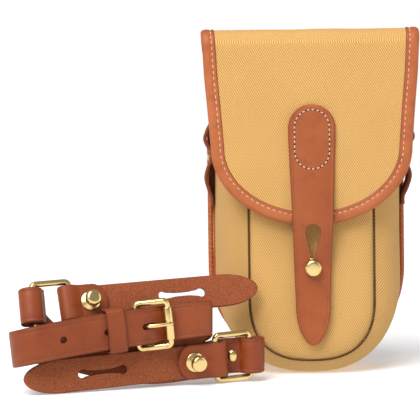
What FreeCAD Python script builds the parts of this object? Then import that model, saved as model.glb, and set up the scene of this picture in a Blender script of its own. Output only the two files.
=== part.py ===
import FreeCAD, Part
import math
import os

# Canvas accessory pouch with a flap, and its leather harness strap coiled in front of it.
# Millimetres.  +X is to the right, +Y to the back of the pouch, +Z up.
# The origin is the centre of the flattened patch that the pouch stands on.

Vector = FreeCAD.Vector
Z_AXIS = Vector(0, 0, 1)

# ---- Pouch ------------------------------------------------------------------
BACK_Y = 26.0                 # outside face of the back panel
SEAM_Y = -31.0                # seam between front panel and gusset
BACK_HALF = 66.0              # half width over the stitched back edge
FRONT_HALF = 40.0             # half width of the front panel
FRONT_BOTTOM = 9.0            # lowest point of the front seam
MOUTH_Z = 208.0               # top edge of front panel and gusset
REST_FRONT, REST_BACK = -17.0, 19.0   # front and back ends of the flattened patch
WALL = 2.6                    # canvas with its foam
LINING = 0.8
SIDE_WALL = 61.1              # outside of the gusset where the side loops are sewn on
FRONT_DOME = 5.5              # how far the front panel bulges in front of its seam
LOOP_REACH = {-1: (6.2, 5.8), 1: (9.2, 7.0)}   # how far the upper and lower side loops stand out

# Gusset sections from back to front: y, half width, lowest z, roundness of the lower corners.
GUSSET_SECTIONS = [
    (22.6, 60.0, 4.2, 2.1),
    (REST_BACK - 3.0, 61.0, -0.4, 2.1),
    (2.0, 60.2, -1.2, 2.2),
    (REST_FRONT, 55.0, -0.4, 2.3),
    (-25.5, 49.0, 3.6, 2.4),
    (SEAM_Y, 41.5, 8.4, 2.5),
]

# ---- Flap -------------------------------------------------------------------
FLAP_TOP = 219.0
FLAP_HALF_TOP = 69.0
FLAP_HALF_LOW = 63.5
FLAP_ARC_Z = 145.0            # height where the straight sides turn into the curved lower edge
FLAP_LOW = 95.8
FLAP_FRONT_Y = -43.0          # outside face of the flap's front
FLAP_T = 1.8
FLAP_LINING_T = 0.8
BINDING_W = 8.5
BINDING_T = 4.4
HINGE_Y, HINGE_Z = 26.4, 209.6   # hinge line of the flap, just behind the back panel

# ---- Closure strap and its stud ----------------------------------------------
CLOSURE_TOP, CLOSURE_TIP = 172.0, 19.7
CLOSURE_BEND_Z = 130.0        # lower end of the stitched part, where the free strap bends
CLOSURE_T = 3.0
STUD_STRAP_Y = SEAM_Y - FRONT_DOME - 2.2 - CLOSURE_T / 2.0   # middle of the strap at the stud
STUD_Z = 69.0
STUD_HEAD_R = 5.6
STUD_NECK_R = 2.3
STUD_HOLE_R = 3.1
SLOT_TOP_Z, SLOT_WIDE_R, SLOT_NECK_HALF = 97.0, 5.1, 1.6

# ---- Harness ------------------------------------------------------------------
# The coiled strap is laid out in its own frame: x along the bands, y away from the viewer, z up.
HARNESS_ORIGIN = Vector(-181.8, -114.0, -0.77)
HARNESS_YAW, HARNESS_DIP = 20.0, 0.76   # turned about the vertical, right end tipped down
STRAP_W = 21.8
STRAP_T = 2.6
TONGUE_W = 20.8
BAR_R = 1.9                   # wire of the two rings
FOLD_R = BAR_R + 0.66 + STRAP_T / 2.0    # middle of the leather folded round a ring bar
FOLD_SLACK = 2.2              # how far the fold reaches past a tight one
ROLL_R, LOWER_ROLL_R = 5.9, 6.3   # middle of the leather rolled loosely round a ring bar
RING_L, RING_H = 26.4, 31.4   # outside size of a ring
LOWER_RING_RISE = 0.7         # the lower ring stands a little higher than its strap
LAYER = STRAP_T + 0.25        # pitch of two strap layers lying on each other

LOWER_TILT, UPPER_TILT, UPPER_LEAN = 3.4, 3.2, 20.0
LOWER_Z, LOWER_Y = 17.4, 6.7       # centre of the lower ring's left bar
LOWER_RING_X = 129.6               # left bar of the lower ring
UPPER_Z, UPPER_Y = 52.6, 15.8       # centre of the upper ring's left bar
UPPER_RING_X = 17.3                # left bar of the upper ring
TONGUE_TIP_LOWER, TAB_END_LOWER, STUD_LOWER = 8.5, 104.5, 115.0
TONGUE_TIP_UPPER, TAB_END_UPPER, STUD_UPPER = 161.5, 62.5, 51.5

HEEL_X, HEEL_Y, HEEL_Z = 78.0, 4.8, 39.7
BUCKLE_TILT, BUCKLE_PITCH = 6.5, 17.5
BUCKLE_WIRE_R, BUCKLE_L, BUCKLE_H = 2.0, 19.5, 27.4   # wire radius, bar to bar, rail to rail
ROLLER_R, ROLLER_BORE = 2.9, 2.06
HOLE_R, HOLE_PITCH, FIRST_HOLE_X = 2.1, 27.0, 30.4
KEEPER_X, KEEPER_W, KEEPER_T = 62.8, 11.4, 1.8
KEEPER_GAP = 0.75             # room between the keeper and the strap edges
LEFT_BEND_X, LEFT_BEND_Y, LEFT_BEND_R = 17.6, 12.5, 11.1   # middle of strap A round the left bend
LOWER_ROLL = (154.0, 7.2)     # centre of the roll round the lower ring's right bar
UPPER_ROLL_X = 15.5


# ---- General helpers ----------------------------------------------------------
def spline_edge(points):
    curve = Part.BSplineCurve()
    curve.interpolate(points)
    return curve.toShape()


def closed_polygon(points):
    return Part.makePolygon(points + [points[0]])


def prism(points, direction):
    """Straight prism over a closed polygon."""
    return Part.Face(closed_polygon(points)).extrude(direction)


def box_between(low, high):
    return Part.makeBox(high.x - low.x, high.y - low.y, high.z - low.z, low)


def arc_points(cx, cy, radius, start, end, count):
    """Points of a plane arc; the angles are in degrees."""
    step = (end - start) / count
    angles = [math.radians(start + step * i) for i in range(count + 1)]
    return [(cx + radius * math.cos(a), cy + radius * math.sin(a)) for a in angles]


def offset_path(path, distance):
    """Points beside a plane path, to its left for a positive distance."""
    result = []
    for i, (x, y) in enumerate(path):
        before = path[max(i - 1, 0)]
        after = path[min(i + 1, len(path) - 1)]
        dx, dy = after[0] - before[0], after[1] - before[1]
        length = math.hypot(dx, dy)
        result.append((x - dy / length * distance, y + dx / length * distance))
    return result


def strip(path, thickness, to_space, direction, smooth=True):
    """Sheet of one thickness along a plane path, extruded across its width."""
    left = [to_space(p) for p in offset_path(path, thickness / 2.0)]
    right = [to_space(p) for p in offset_path(path, -thickness / 2.0)]
    if not smooth:
        return prism(left + right[::-1], direction)
    edges = [
        spline_edge(left),
        Part.makeLine(left[-1], right[-1]),
        spline_edge(right[::-1]),
        Part.makeLine(right[0], left[0]),
    ]
    return Part.Face(Part.Wire(edges)).extrude(direction)


def ribbon(stations, width, thickness):
    """Strap whose middle line and width direction are given station by station."""
    wires = []
    for i, (centre, across) in enumerate(stations):
        before = stations[max(i - 1, 0)][0]
        after = stations[min(i + 1, len(stations) - 1)][0]
        along = (after - before).normalize()
        normal = along.cross(across).normalize()
        half_w = across * (width / 2.0)
        half_t = normal * (thickness / 2.0)
        corners = [centre + half_w + half_t, centre + half_w - half_t,
                   centre - half_w - half_t, centre - half_w + half_t]
        wires.append(closed_polygon(corners))
    return Part.makeLoft(wires, True, True)


def rod(base, direction, radius, length):
    return Part.makeCylinder(radius, length, base, direction)


def revolve_profile(profile, base, direction):
    """Turned part: profile is a list of (distance along the axis, radius)."""
    points = [Vector(r, 0, h) for h, r in profile]
    solid = Part.Face(closed_polygon(points)).revolve(Vector(0, 0, 0), Z_AXIS, 360)
    solid.Placement = FreeCAD.Placement(base, FreeCAD.Rotation(Z_AXIS, direction))
    return solid


def round_ring(length, height, radius, corner):
    """Rectangular ring of round wire in the XZ plane, its left bar on the Z axis."""
    x0, x1 = 0.0, length - 2.0 * radius
    z1 = height / 2.0 - radius
    corners = [(x1 - corner, -z1 + corner, -90), (x1 - corner, z1 - corner, 0),
               (x0 + corner, z1 - corner, 90), (x0 + corner, -z1 + corner, 180)]
    arcs = []
    for cx, cz, start in corners:
        pts = arc_points(cx, cz, corner, start, start + 90, 2)
        arcs.append([Vector(x, 0, z) for x, z in pts])
    edges = []
    for i, (a, b, c) in enumerate(arcs):
        edges.append(Part.Arc(a, b, c).toShape())
        edges.append(Part.makeLine(c, arcs[(i + 1) % 4][0]))
    start_point = arcs[0][0]
    profile = Part.Wire(Part.makeCircle(radius, start_point, Vector(1, 0, 0)))
    return Part.Wire(edges).makePipeShell([profile], True, True)


def export(name, shape):
    solids = shape.Solids
    if not solids or not shape.isValid():
        print("PROBLEM", name, len(solids), shape.isValid())
    out = solids[0] if len(solids) == 1 else Part.makeCompound(solids)
    out.exportStep("parts/" + name + ".step")
    print("%-24s solids %d  volume %9.1f" % (name, len(solids), out.Volume))


# ---- Pouch --------------------------------------------------------------------
def pouch_outline(half, bottom, top, power, inset=0.0):
    """Points of a U: straight sides and a superelliptic lower end, from top right to top left."""
    a = half - inset
    low = bottom + inset
    b = half * 1.0 - inset
    points = [(a, top), (a, low + b)]
    for i in range(1, 24):
        t = math.pi / 2.0 * i / 12.0
        x = math.copysign(abs(math.cos(t)) ** (2.0 / power), math.cos(t)) * a
        z = low + b - abs(math.sin(t)) ** (2.0 / power) * b
        points.append((x, z))
    points += [(-a, low + b), (-a, top)]
    return points


def outline_wire(half, bottom, top, power, y, inset=0.0):
    points = pouch_outline(half, bottom, top, power, inset)
    curve = spline_edge([Vector(x, y, z) for x, z in points[1:-1]])
    right_top = Vector(points[0][0], y, top)
    left_top = Vector(points[-1][0], y, top)
    right = Vector(points[1][0], y, points[1][1])
    left = Vector(points[-2][0], y, points[-2][1])
    return Part.Wire([Part.makeLine(right_top, right), curve,
                      Part.makeLine(left, left_top), Part.makeLine(left_top, right_top)])


def pouch_plate(half, bottom, top, power, y0, y1, inset=0.0):
    wire = outline_wire(half, bottom, top, power, y0, inset)
    return Part.Face(wire).extrude(Vector(0, y1 - y0, 0))


def gusset_tube(inset, top):
    """Solid inside the gusset's skin, shrunk by the inset."""
    wires = []
    for y, half, bottom, power in GUSSET_SECTIONS:
        wires.append(outline_wire(half, bottom, top, power, y, inset))
    return Part.makeLoft(wires, True, True)


def pouch_parts():
    back_half = BACK_HALF - 0.8
    back_panel = pouch_plate(back_half, 0.9, MOUTH_Z + 1.0, 2.1, 23.0, 25.2)

    band = pouch_plate(BACK_HALF, 0.1, 160.0, 2.1, 22.7, BACK_Y)
    band = band.cut(pouch_plate(BACK_HALF - 6.5, 6.6, 161.0, 2.1, 20.0, 30.0))
    panel_room = pouch_plate(back_half + 0.1, 0.8, MOUTH_Z + 2.0, 2.1, 22.9, 25.3)
    back_binding = band.cut(panel_room)

    below_floor = box_between(Vector(-80, -60, -5), Vector(80, 60, 0))
    skin = gusset_tube(0.0, MOUTH_Z).cut(below_floor)
    inner = gusset_tube(WALL, MOUTH_Z + 5.0)
    gusset = skin.cut(inner)
    lining_inner = gusset_tube(WALL + LINING + 0.1, MOUTH_Z + 5.0)
    lining_outer = gusset_tube(WALL + 0.1, MOUTH_Z - 1.0)
    lining = lining_outer.cut(lining_inner)

    dome = []
    for half, y in [(FRONT_HALF, SEAM_Y - 0.3), (FRONT_HALF - 4.0, SEAM_Y - 3.6),
                    (FRONT_HALF - 14.0, SEAM_Y - FRONT_DOME)]:
        bottom = FRONT_BOTTOM + (FRONT_HALF - half)
        dome.append(outline_wire(half, bottom, MOUTH_Z, 2.5, y))
    front_panel = Part.makeLoft(dome, True, True)

    mouth = pouch_plate(41.5, 150.0, MOUTH_Z + 2.0, 2.5, SEAM_Y - 0.2, SEAM_Y + 1.6)
    mouth_binding = mouth.common(box_between(Vector(-39, -40, MOUTH_Z + 0.1), Vector(39, 0, 260)))

    return {
        "back_panel": back_panel,
        "back_binding": back_binding,
        "gusset": gusset,
        "lining": lining,
        "front_panel": front_panel,
        "mouth_binding": mouth_binding,
    }


def side_loop(side):
    """Leather strip sewn to the gusset so that it stands out as two loops, one above the other."""
    wall = SIDE_WALL
    upper, lower = LOOP_REACH[side]
    path = [(wall + 2.0, 167.0), (wall + 2.1, 162.5), (wall + upper * 0.7, 158.0), (wall + upper, 152.0),
            (wall + upper * 0.75, 147.5), (wall + 2.3, 143.8), (wall + 2.3, 137.2),
            (wall + lower * 0.72, 133.2), (wall + lower, 126.0), (wall + lower * 0.7, 118.5),
            (wall + 2.2, 112.5), (wall + 2.0, 107.0)]

    def to_space(p):
        return Vector(side * p[0], 4.0, p[1])

    hole = rod(Vector(side * wall, 13.0, 140.5), Vector(side, 0, 0), 2.1, 10.0)
    return strip(path, 2.4, to_space, Vector(0, 18.0, 0)).cut(hole)


def side_loop_rivet(side):
    """Rivet that holds the pinched middle of a side loop against the gusset."""
    profile = [(0.2, 0.0), (0.2, 2.0), (3.6, 2.0), (3.6, 3.0), (4.3, 2.7), (4.7, 1.6), (4.8, 0.0)]
    return revolve_profile(profile, Vector(side * SIDE_WALL, 13.0, 140.5), Vector(side, 0, 0))


# ---- Flap ---------------------------------------------------------------------
def flap_profile():
    """Outside line of the flap in the YZ plane, from the hinge over the top and down the front."""
    top_back = arc_points(16.0, FLAP_TOP - 9.0, 9.0, 0, 90, 6)
    top_front = arc_points(-33.0, FLAP_TOP - 9.5, 9.5, 90, 180, 6)
    return [(25.0, HINGE_Z + 0.3)] + top_back[1:] + [(-8.0, FLAP_TOP - 0.4)] + top_front + [
        (FLAP_FRONT_Y, 180.0), (FLAP_FRONT_Y, 140.0), (FLAP_FRONT_Y, FLAP_LOW - 2.0)]


def flap_sheet(depth, thickness, half):
    """Sheet that follows the flap, its middle lying at a depth below the outside line."""
    line = offset_path(flap_profile(), depth)

    def to_space(p):
        return Vector(-half, p[0], p[1])

    return strip(line, thickness, to_space, Vector(2.0 * half, 0, 0))


def flap_prism(inset):
    """Front outline of the flap as a prism through the whole depth."""
    half_top = FLAP_HALF_TOP - inset
    half_low = FLAP_HALF_LOW - inset
    drop = FLAP_ARC_Z - FLAP_LOW - inset
    points = [Vector(half_top, -70, FLAP_TOP + 20), Vector(half_top, -70, FLAP_TOP)]
    for i in range(0, 33):
        t = math.pi * i / 32.0
        points.append(Vector(half_low * math.cos(t), -70, FLAP_ARC_Z - drop * math.sin(t)))
    points += [Vector(-half_top, -70, FLAP_TOP), Vector(-half_top, -70, FLAP_TOP + 20)]
    return prism(points, Vector(0, 120, 0))


def flap_parts():
    panel_zone = flap_prism(BINDING_W * 0.45)
    rim_zone = flap_prism(0.0).cut(flap_prism(BINDING_W))
    outer = flap_sheet(FLAP_T / 2.0, FLAP_T, 80.0)
    under = flap_sheet(FLAP_T + 0.1 + FLAP_LINING_T / 2.0, FLAP_LINING_T, 80.0)
    panel = outer.common(panel_zone)
    lining = under.common(panel_zone)
    rim = flap_sheet(1.25, BINDING_T, 80.0).common(rim_zone)
    binding = rim.cut(panel).cut(lining)
    return {"flap_panel": panel, "flap_lining": lining, "flap_binding": binding}


# ---- Closure strap --------------------------------------------------------------
def closure_half_width(z):
    """Half width of the closure strap, tapering from the stitched end to the tip."""
    upper, lower = 14.8, 11.3
    share = (z - 55.0) / (150.0 - 55.0)
    return lower + (upper - lower) * max(0.0, min(1.0, share))


def closure_outline():
    points = []
    for i in range(0, 13):
        t = math.pi * i / 12.0
        points.append((14.8 * math.cos(t), CLOSURE_TOP - 14.8 + 14.8 * math.sin(t)))
    side = [(closure_half_width(z), z) for z in (145.0, 120.0, 95.0, 70.0, 50.0)]
    tip = []
    for i in range(1, 12):
        t = math.pi * i / 12.0
        tip.append((11.0 * math.cos(t), 46.0 - (46.0 - CLOSURE_TIP) * math.sin(t) ** 0.9))
    points += [(-x, z) for x, z in side]
    points += [(-x, z) for x, z in tip]
    points += [(x, z) for x, z in side[::-1]]
    return points


def closure_profile():
    """Middle line of the strap in the YZ plane: flat on the flap, then down to the pouch front."""
    on_flap = FLAP_FRONT_Y - CLOSURE_T / 2.0 - 0.35
    return [(on_flap, 174.0), (on_flap, 150.0), (on_flap, 132.0), (on_flap - 1.6, 112.0),
            (on_flap - 1.7, 99.0), (on_flap + 1.6, 84.0), (STUD_STRAP_Y, 70.0),
            (STUD_STRAP_Y + 0.2, 50.0), (STUD_STRAP_Y - 0.2, 18.0)]


def slot_cutter():
    """Teardrop slot: wide near its top, narrow in the middle, round where the stud sits."""
    away = Vector(0, 1, 0)
    wide = rod(Vector(0, -70, SLOT_TOP_Z - SLOT_WIDE_R), away, SLOT_WIDE_R, 60)
    seat = rod(Vector(0, -70, STUD_Z), away, STUD_HOLE_R, 60)
    throat_z = STUD_Z + 8.0
    taper = prism([Vector(-SLOT_WIDE_R, -70, SLOT_TOP_Z - SLOT_WIDE_R - 0.6),
                   Vector(SLOT_WIDE_R, -70, SLOT_TOP_Z - SLOT_WIDE_R - 0.6),
                   Vector(SLOT_NECK_HALF, -70, throat_z),
                   Vector(-SLOT_NECK_HALF, -70, throat_z)], Vector(0, 60, 0))
    neck = box_between(Vector(-SLOT_NECK_HALF, -70, STUD_Z), Vector(SLOT_NECK_HALF, -10, throat_z + 0.1))
    return wide.fuse([taper, neck, seat])


def closure_parts():
    def to_space(p):
        return Vector(-20, p[0], p[1])

    sheet = strip(closure_profile(), CLOSURE_T, to_space, Vector(40, 0, 0))
    outline = prism([Vector(x, -60, z) for x, z in closure_outline()], Vector(0, 50, 0))
    strap = sheet.common(outline)
    above = box_between(Vector(-30, -70, CLOSURE_BEND_Z + 0.15), Vector(30, 0, 200))
    below = box_between(Vector(-30, -70, 0), Vector(30, 0, CLOSURE_BEND_Z - 0.15))
    return {
        "closure_strap_sewn": strap.common(above),
        "closure_strap_free": strap.common(below).cut(slot_cutter()),
    }


def closure_stud():
    face_y = SEAM_Y - FRONT_DOME - 0.3
    head = [(0.0, 0.0), (0.0, 6.2), (0.9, 6.0), (1.1, STUD_NECK_R), (5.6, STUD_NECK_R),
            (6.0, 4.4), (7.4, STUD_HEAD_R), (9.6, STUD_HEAD_R - 0.2), (11.4, 4.2), (12.4, 2.2), (12.7, 0.0)]
    return revolve_profile(head, Vector(0, face_y, STUD_Z), Vector(0, -1, 0))


# ---- Harness frame ------------------------------------------------------------
def harness_placement():
    yaw = FreeCAD.Rotation(Z_AXIS, HARNESS_YAW)
    dip = FreeCAD.Rotation(Vector(0, 1, 0), HARNESS_DIP)
    return FreeCAD.Placement(HARNESS_ORIGIN, yaw.multiply(dip))


def group_placement(x, y, z, tilt, lean):
    """A straight group inside the coil: tilted along its length and leaned back about it."""
    turn = FreeCAD.Rotation(Vector(0, 1, 0), -tilt).multiply(FreeCAD.Rotation(Vector(1, 0, 0), -lean))
    local = FreeCAD.Placement(Vector(x, y, z), turn)
    return harness_placement().multiply(local)


def lower_placement():
    return group_placement(LOWER_RING_X, LOWER_Y, LOWER_Z, LOWER_TILT, 0.0)


def upper_placement():
    return group_placement(UPPER_RING_X, UPPER_Y, UPPER_Z, UPPER_TILT, UPPER_LEAN)


def buckle_in_coil():
    """The buckle's own frame inside the coil: heel bar on its Z axis, roller bar towards +X."""
    pitch = FreeCAD.Rotation(Z_AXIS, -BUCKLE_PITCH)
    tilt = FreeCAD.Rotation(Vector(0, 1, 0), -BUCKLE_TILT)
    return FreeCAD.Placement(Vector(HEEL_X, HEEL_Y, HEEL_Z), tilt.multiply(pitch))


def buckle_placement():
    return harness_placement().multiply(buckle_in_coil())


def placed(shape, placement):
    shape = shape.copy()
    shape.Placement = placement.multiply(shape.Placement)
    return shape


def flat_point(p):
    return Vector(p[0], p[1], -STRAP_W / 2.0)


# ---- Tongues, rings and studs of the harness -------------------------------------
def tongue_outline(tip, butt, half, taper):
    """Front outline of a tongue lying along X; the rounded tip may point either way."""
    sign = 1.0 if tip < butt else -1.0
    centre = tip + sign * taper
    points = [(butt, half), (centre, half)]
    for i in range(1, 16):
        t = math.pi * i / 16.0
        points.append((centre - sign * taper * math.sin(t), half * math.cos(t)))
    points += [(centre, -half), (butt, -half)]
    return points


def trimming(outline, y0, y1):
    """What is cut off one layer of strap so that its front view gets the outline."""
    xs = [x for x, z in outline]
    reach = STRAP_W / 2.0 + 1.0
    pointing_left = xs[0] > min(xs)
    low_x = min(xs) - 5.0 if pointing_left else min(xs)
    high_x = max(xs) if pointing_left else max(xs) + 5.0
    block = box_between(Vector(low_x, y0, -reach), Vector(high_x, y1, reach))
    points = [Vector(x, y0 - 1.0, z) for x, z in outline]
    return block.cut(prism(points, Vector(0, y1 - y0 + 2.0, 0)))


def tongue_strap(tip, tab_end, side):
    """Strap doubled round a ring bar on the Z axis: a short tab in front, the long tongue behind.

    The tongue runs towards negative X for side -1 and towards positive X for side +1."""
    near, far = side * 5.5, side * 3.0
    rear = LAYER / 2.0
    path = [(tip, rear), (near, rear), (0.0, FOLD_R)]
    path += [(-side * x, y) for x, y in arc_points(FOLD_SLACK, 0, FOLD_R, 90, -90, 12)]
    path += [(0.0, -FOLD_R), (near, -rear), (tab_end, -rear)]
    sheet = strip(path, STRAP_T, flat_point, Vector(0, 0, STRAP_W), smooth=False)
    sheet = sheet.cut(trimming(tongue_outline(tip, far, TONGUE_W / 2.0, 24.0), 0.05, 8.0))
    return sheet.cut(trimming(tongue_outline(tab_end, far, STRAP_W / 2.0, 9.0), -8.0, -0.05))


def bone_slot(x0, x1):
    """Slot with a round hole at each end, cut through along Y."""
    away = Vector(0, 1, 0)
    ends = [rod(Vector(x, -20, 0), away, 2.9, 60) for x in (x0, x1)]
    neck = box_between(Vector(x0, -20, -1.3), Vector(x1, 40, 1.3))
    return neck.fuse(ends)


def harness_stud():
    """Ball stud that clamps tab and tongue: flange and head in front, washer behind."""
    front = LAYER / 2.0 + STRAP_T / 2.0
    profile = [(-front - 1.2, 0.0), (-front - 1.2, 4.4), (-front - 0.1, 4.6), (-front - 0.1, 2.0),
               (front + 0.1, 2.0), (front + 0.1, 6.1), (front + 1.0, 5.9), (front + 1.3, 2.4),
               (front + 4.2, 2.4), (front + 5.2, 4.2), (front + 6.8, 4.9), (front + 8.4, 4.5),
               (front + 9.8, 3.0), (front + 10.6, 0.0)]
    return revolve_profile(profile, Vector(0, 0, 0), Vector(0, -1, 0))


def harness_ring(side):
    """Ring with the bar that the strap's tongue folds round on the Z axis."""
    ring = round_ring(RING_L, RING_H, BAR_R, 2.6)
    if side > 0:
        ring.translate(Vector(-(RING_L - 2.0 * BAR_R), 0, 0))
    else:
        ring.translate(Vector(0, 0, LOWER_RING_RISE))
    return ring


def tongue_group(name, placement, bar_x, side, tip, tab_end, stud_x, slot):
    """Tongue strap, its stud and its ring; x values are along the band, bar_x is the folded bar."""
    strap = tongue_strap(tip - bar_x, tab_end - bar_x, side)
    hole = rod(Vector(stud_x - bar_x, -20, 0), Vector(0, 1, 0), 2.15, 40)
    strap = strap.cut(hole).cut(bone_slot(slot[0] - bar_x, slot[1] - bar_x))
    stud = harness_stud()
    stud.translate(Vector(stud_x - bar_x, 0, 0))
    return {
        name + "_tongue_strap": placed(strap, placement),
        name + "_stud": placed(stud, placement),
        name + "_ring": placed(harness_ring(side), placement),
    }


# ---- The two long straps -----------------------------------------------------------
def band_height(x):
    """Height of the middle band's centre line above the floor: it rises and levels out."""
    return 29.3 + 0.185 * x - 0.00063 * x * x


def smooth_route(points, per_span=4):
    """Spline through hand-placed points, returned as evenly spread points."""
    curve = Part.BSplineCurve()
    curve.interpolate([Vector(*p) for p in points])
    first, last = curve.FirstParameter, curve.LastParameter
    count = per_span * (len(points) - 1)
    return [curve.value(first + (last - first) * i / count) for i in range(count + 1)]


def band_across(x):
    """Width direction of the middle band: it leans with the buckle and stands upright at its right end."""
    lean = math.radians(BUCKLE_TILT) * max(0.0, min(1.0, (122.0 - x) / 30.0))
    return Vector(-math.sin(lean), 0, math.cos(lean))


def band_station(x, y):
    return (Vector(x, y, band_height(x)), band_across(x))


def upright(points):
    return [(Vector(*p), Z_AXIS) for p in points]


def left_bend(radius, start, end):
    """Stations round the left end of the coil; the back of the bend lies a little lower."""
    stations = []
    for x, y in arc_points(LEFT_BEND_X, LEFT_BEND_Y, radius, start, end, 10):
        sink = 4.0 * (y - LEFT_BEND_Y + radius) / (2.0 * radius)
        stations.append((Vector(x, y, band_height(x) - sink), band_across(x)))
    return stations


def lower_roll_height(x):
    """Height of strap A's centre line at the lower ring, nearly level with the ring's own centre."""
    return LOWER_Z + 0.2 + (x - LOWER_RING_X) * math.tan(math.radians(LOWER_TILT))


def buckle_strap():
    """Strap A: folded round the buckle's heel bar, round the left bend, back to the lower ring."""
    fold = arc_points(HEEL_X, HEEL_Y, BUCKLE_WIRE_R + 0.45 + STRAP_T / 2.0, 105, -105, 14)
    plane = [(50.0, 4.35), (58.0, 4.35), (69.6, 4.5), (73.0, 6.3)] + fold
    plane += [(71.0, 1.5), (56.0, 1.4), (40.0, 1.4), (26.0, 1.4)]
    front = [band_station(x, y) for x, y in plane]
    back = smooth_route([(30.0, 23.4, 26.6), (50.0, 22.2, 20.6), (72.0, 20.6, 15.2), (90.0, 19.2, 13.16),
                         (105.0, 18.4, 13.4), (120.0, 17.5, 15.2),
                         (135.0, 16.0, lower_roll_height(135.0)), (147.0, 13.9, lower_roll_height(147.0))])
    around = arc_points(LOWER_ROLL[0], LOWER_ROLL[1], LOWER_ROLL_R, 82, -178, 14)
    tail = [(147.2, 9.6), (144.6, 11.3), (140.0, 12.4), (135.0, 13.1)]
    roll = [(x, y, lower_roll_height(x)) for x, y in around + tail]
    stations = front + left_bend(LEFT_BEND_R, -90, -270) + upright(back) + upright(roll)
    return ribbon(stations, STRAP_W, STRAP_T)


def holed_strap():
    """Strap B: free end over strap A, through the buckle, round the right bend, to the upper ring."""
    outer_r = LEFT_BEND_R + 2.9
    tip = [(Vector(38.0, 26.2, 25.6), Z_AXIS), (Vector(28.0, 26.5, 28.2), band_across(28.0))]
    over_points = [(26.0, -1.5), (50.0, -1.55), (70.0, -1.9), (79.0, -1.95), (85.0, -0.6), (91.0, 2.2),
                   (97.5, 3.6), (105.0, 1.9), (112.0, 0.3), (117.5, 0.1)]
    over = smooth_route([(x, y, band_height(x) + 0.06 * max(0.0, x - 100.0)) for x, y in over_points])
    right = upright([(121.4, 0.4, 43.6), (123.9, 1.9, 43.3), (125.4, 5.0, 42.4), (125.2, 8.4, 40.4),
                     (124.0, 10.2, 39.2), (121.6, 11.6, 36.7), (118.0, 12.9, 34.8)])
    behind = smooth_route([(110.0, 13.8, 33.0), (80.0, 14.0, 31.4), (55.0, 14.4, 30.0), (44.0, 15.0, 29.4),
                           (37.0, 15.6, 29.2), (32.0, 16.8, 30.2), (26.6, 18.8, 35.0), (22.6, 20.4, 41.0)])
    lean = math.radians(UPPER_LEAN)
    leaned = Vector(0, math.sin(lean), math.cos(lean))
    half_leaned = Vector(0, math.sin(lean / 2.0), math.cos(lean / 2.0))
    away = Vector(0, math.cos(lean), -math.sin(lean))
    centre = Vector(UPPER_ROLL_X, UPPER_Y, UPPER_Z + 0.1)
    roll = [(Vector(19.4, 21.3, 47.2), half_leaned)]
    for x, y in arc_points(0, 0, ROLL_R, 96, 340, 14):
        roll.append((centre + Vector(x, 0, 0) + away * y, leaned))
    roll.append((centre + Vector(7.6, 0, 0) + away * 1.4, leaned))
    stations = tip + left_bend(outer_r, -270, -90) + [(p, band_across(p.x)) for p in over]
    strap = ribbon(stations + right + upright(behind) + roll, STRAP_W, STRAP_T)
    for i in range(2):
        x = FIRST_HOLE_X + HOLE_PITCH * i
        strap = strap.cut(rod(Vector(x, -6, band_height(x)), Vector(0, 1, 0), HOLE_R, 6.3))
    pulled = box_between(Vector(3.4, -9, -HOLE_R), Vector(11.5, 0.5, HOLE_R))
    return strap.cut(placed(pulled, buckle_in_coil()))


# ---- Buckle and keeper ----------------------------------------------------------------
def buckle_frame():
    ring = round_ring(BUCKLE_L + 2 * BUCKLE_WIRE_R, BUCKLE_H + 2 * BUCKLE_WIRE_R, BUCKLE_WIRE_R, 2.4)
    return placed(ring, buckle_placement())


def buckle_roller():
    length = BUCKLE_H - 7.4
    base = Vector(BUCKLE_L, 0, -length / 2.0)
    outer = rod(base, Z_AXIS, ROLLER_R, length)
    bore = rod(base - Z_AXIS, Z_AXIS, ROLLER_BORE, length + 2.0)
    return placed(outer.cut(bore), buckle_placement())


def buckle_prong():
    """Eye round the heel bar and a pin that passes the strap hole and rests on the roller."""
    eye = rod(Vector(0, 0, -1.7), Z_AXIS, BUCKLE_WIRE_R + 1.3, 3.4)
    path = [(2.0, -1.4), (4.6, -2.8), (8.0, -5.0), (12.5, -5.0)]
    path += [(BUCKLE_L, -ROLLER_R - 1.4), (BUCKLE_L + 2.6, -3.7)]

    def to_space(p):
        return Vector(p[0], p[1], -1.2)

    pin = strip(path, 1.9, to_space, Vector(0, 0, 2.4), smooth=False)
    bore = rod(Vector(0, 0, -3), Z_AXIS, BUCKLE_WIRE_R + 0.06, 6)
    return placed(eye.fuse(pin).cut(bore).removeSplitter(), buckle_placement())


def keeper_loop():
    """Leather band round both layers of the middle band, open at its two ends."""
    low_y, high_y = -1.7 - STRAP_T / 2.0 - 0.5, 4.4 + STRAP_T / 2.0 + 0.5
    half = STRAP_W / 2.0 + KEEPER_GAP
    reach = KEEPER_W / 2.0
    outer = box_between(Vector(-reach, low_y - KEEPER_T, -half - KEEPER_T),
                        Vector(reach, high_y + KEEPER_T, half + KEEPER_T))
    outer = outer.makeFillet(1.6, [e for e in outer.Edges if abs(e.tangentAt(e.FirstParameter).x) > 0.9])
    inner = box_between(Vector(-reach - 1, low_y, -half), Vector(reach + 1, high_y, half))
    slope = math.degrees(math.atan(0.185 - 2 * 0.00063 * KEEPER_X))
    local = FreeCAD.Placement(Vector(KEEPER_X, 0, band_height(KEEPER_X)),
                              FreeCAD.Rotation(Vector(0, 1, 0), -slope))
    return placed(outer.cut(inner), harness_placement().multiply(local))


def roll_rivet(middle, direction):
    """Small domed rivet through the two layers of a rolled strap end."""
    profile = [(-3.7, 0.0), (-3.7, 3.0), (-2.8, 3.2), (-2.8, 1.6), (2.8, 1.6), (2.8, 3.4), (3.4, 2.8),
               (3.8, 0.0)]
    return placed(revolve_profile(profile, middle, direction), harness_placement())


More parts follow.
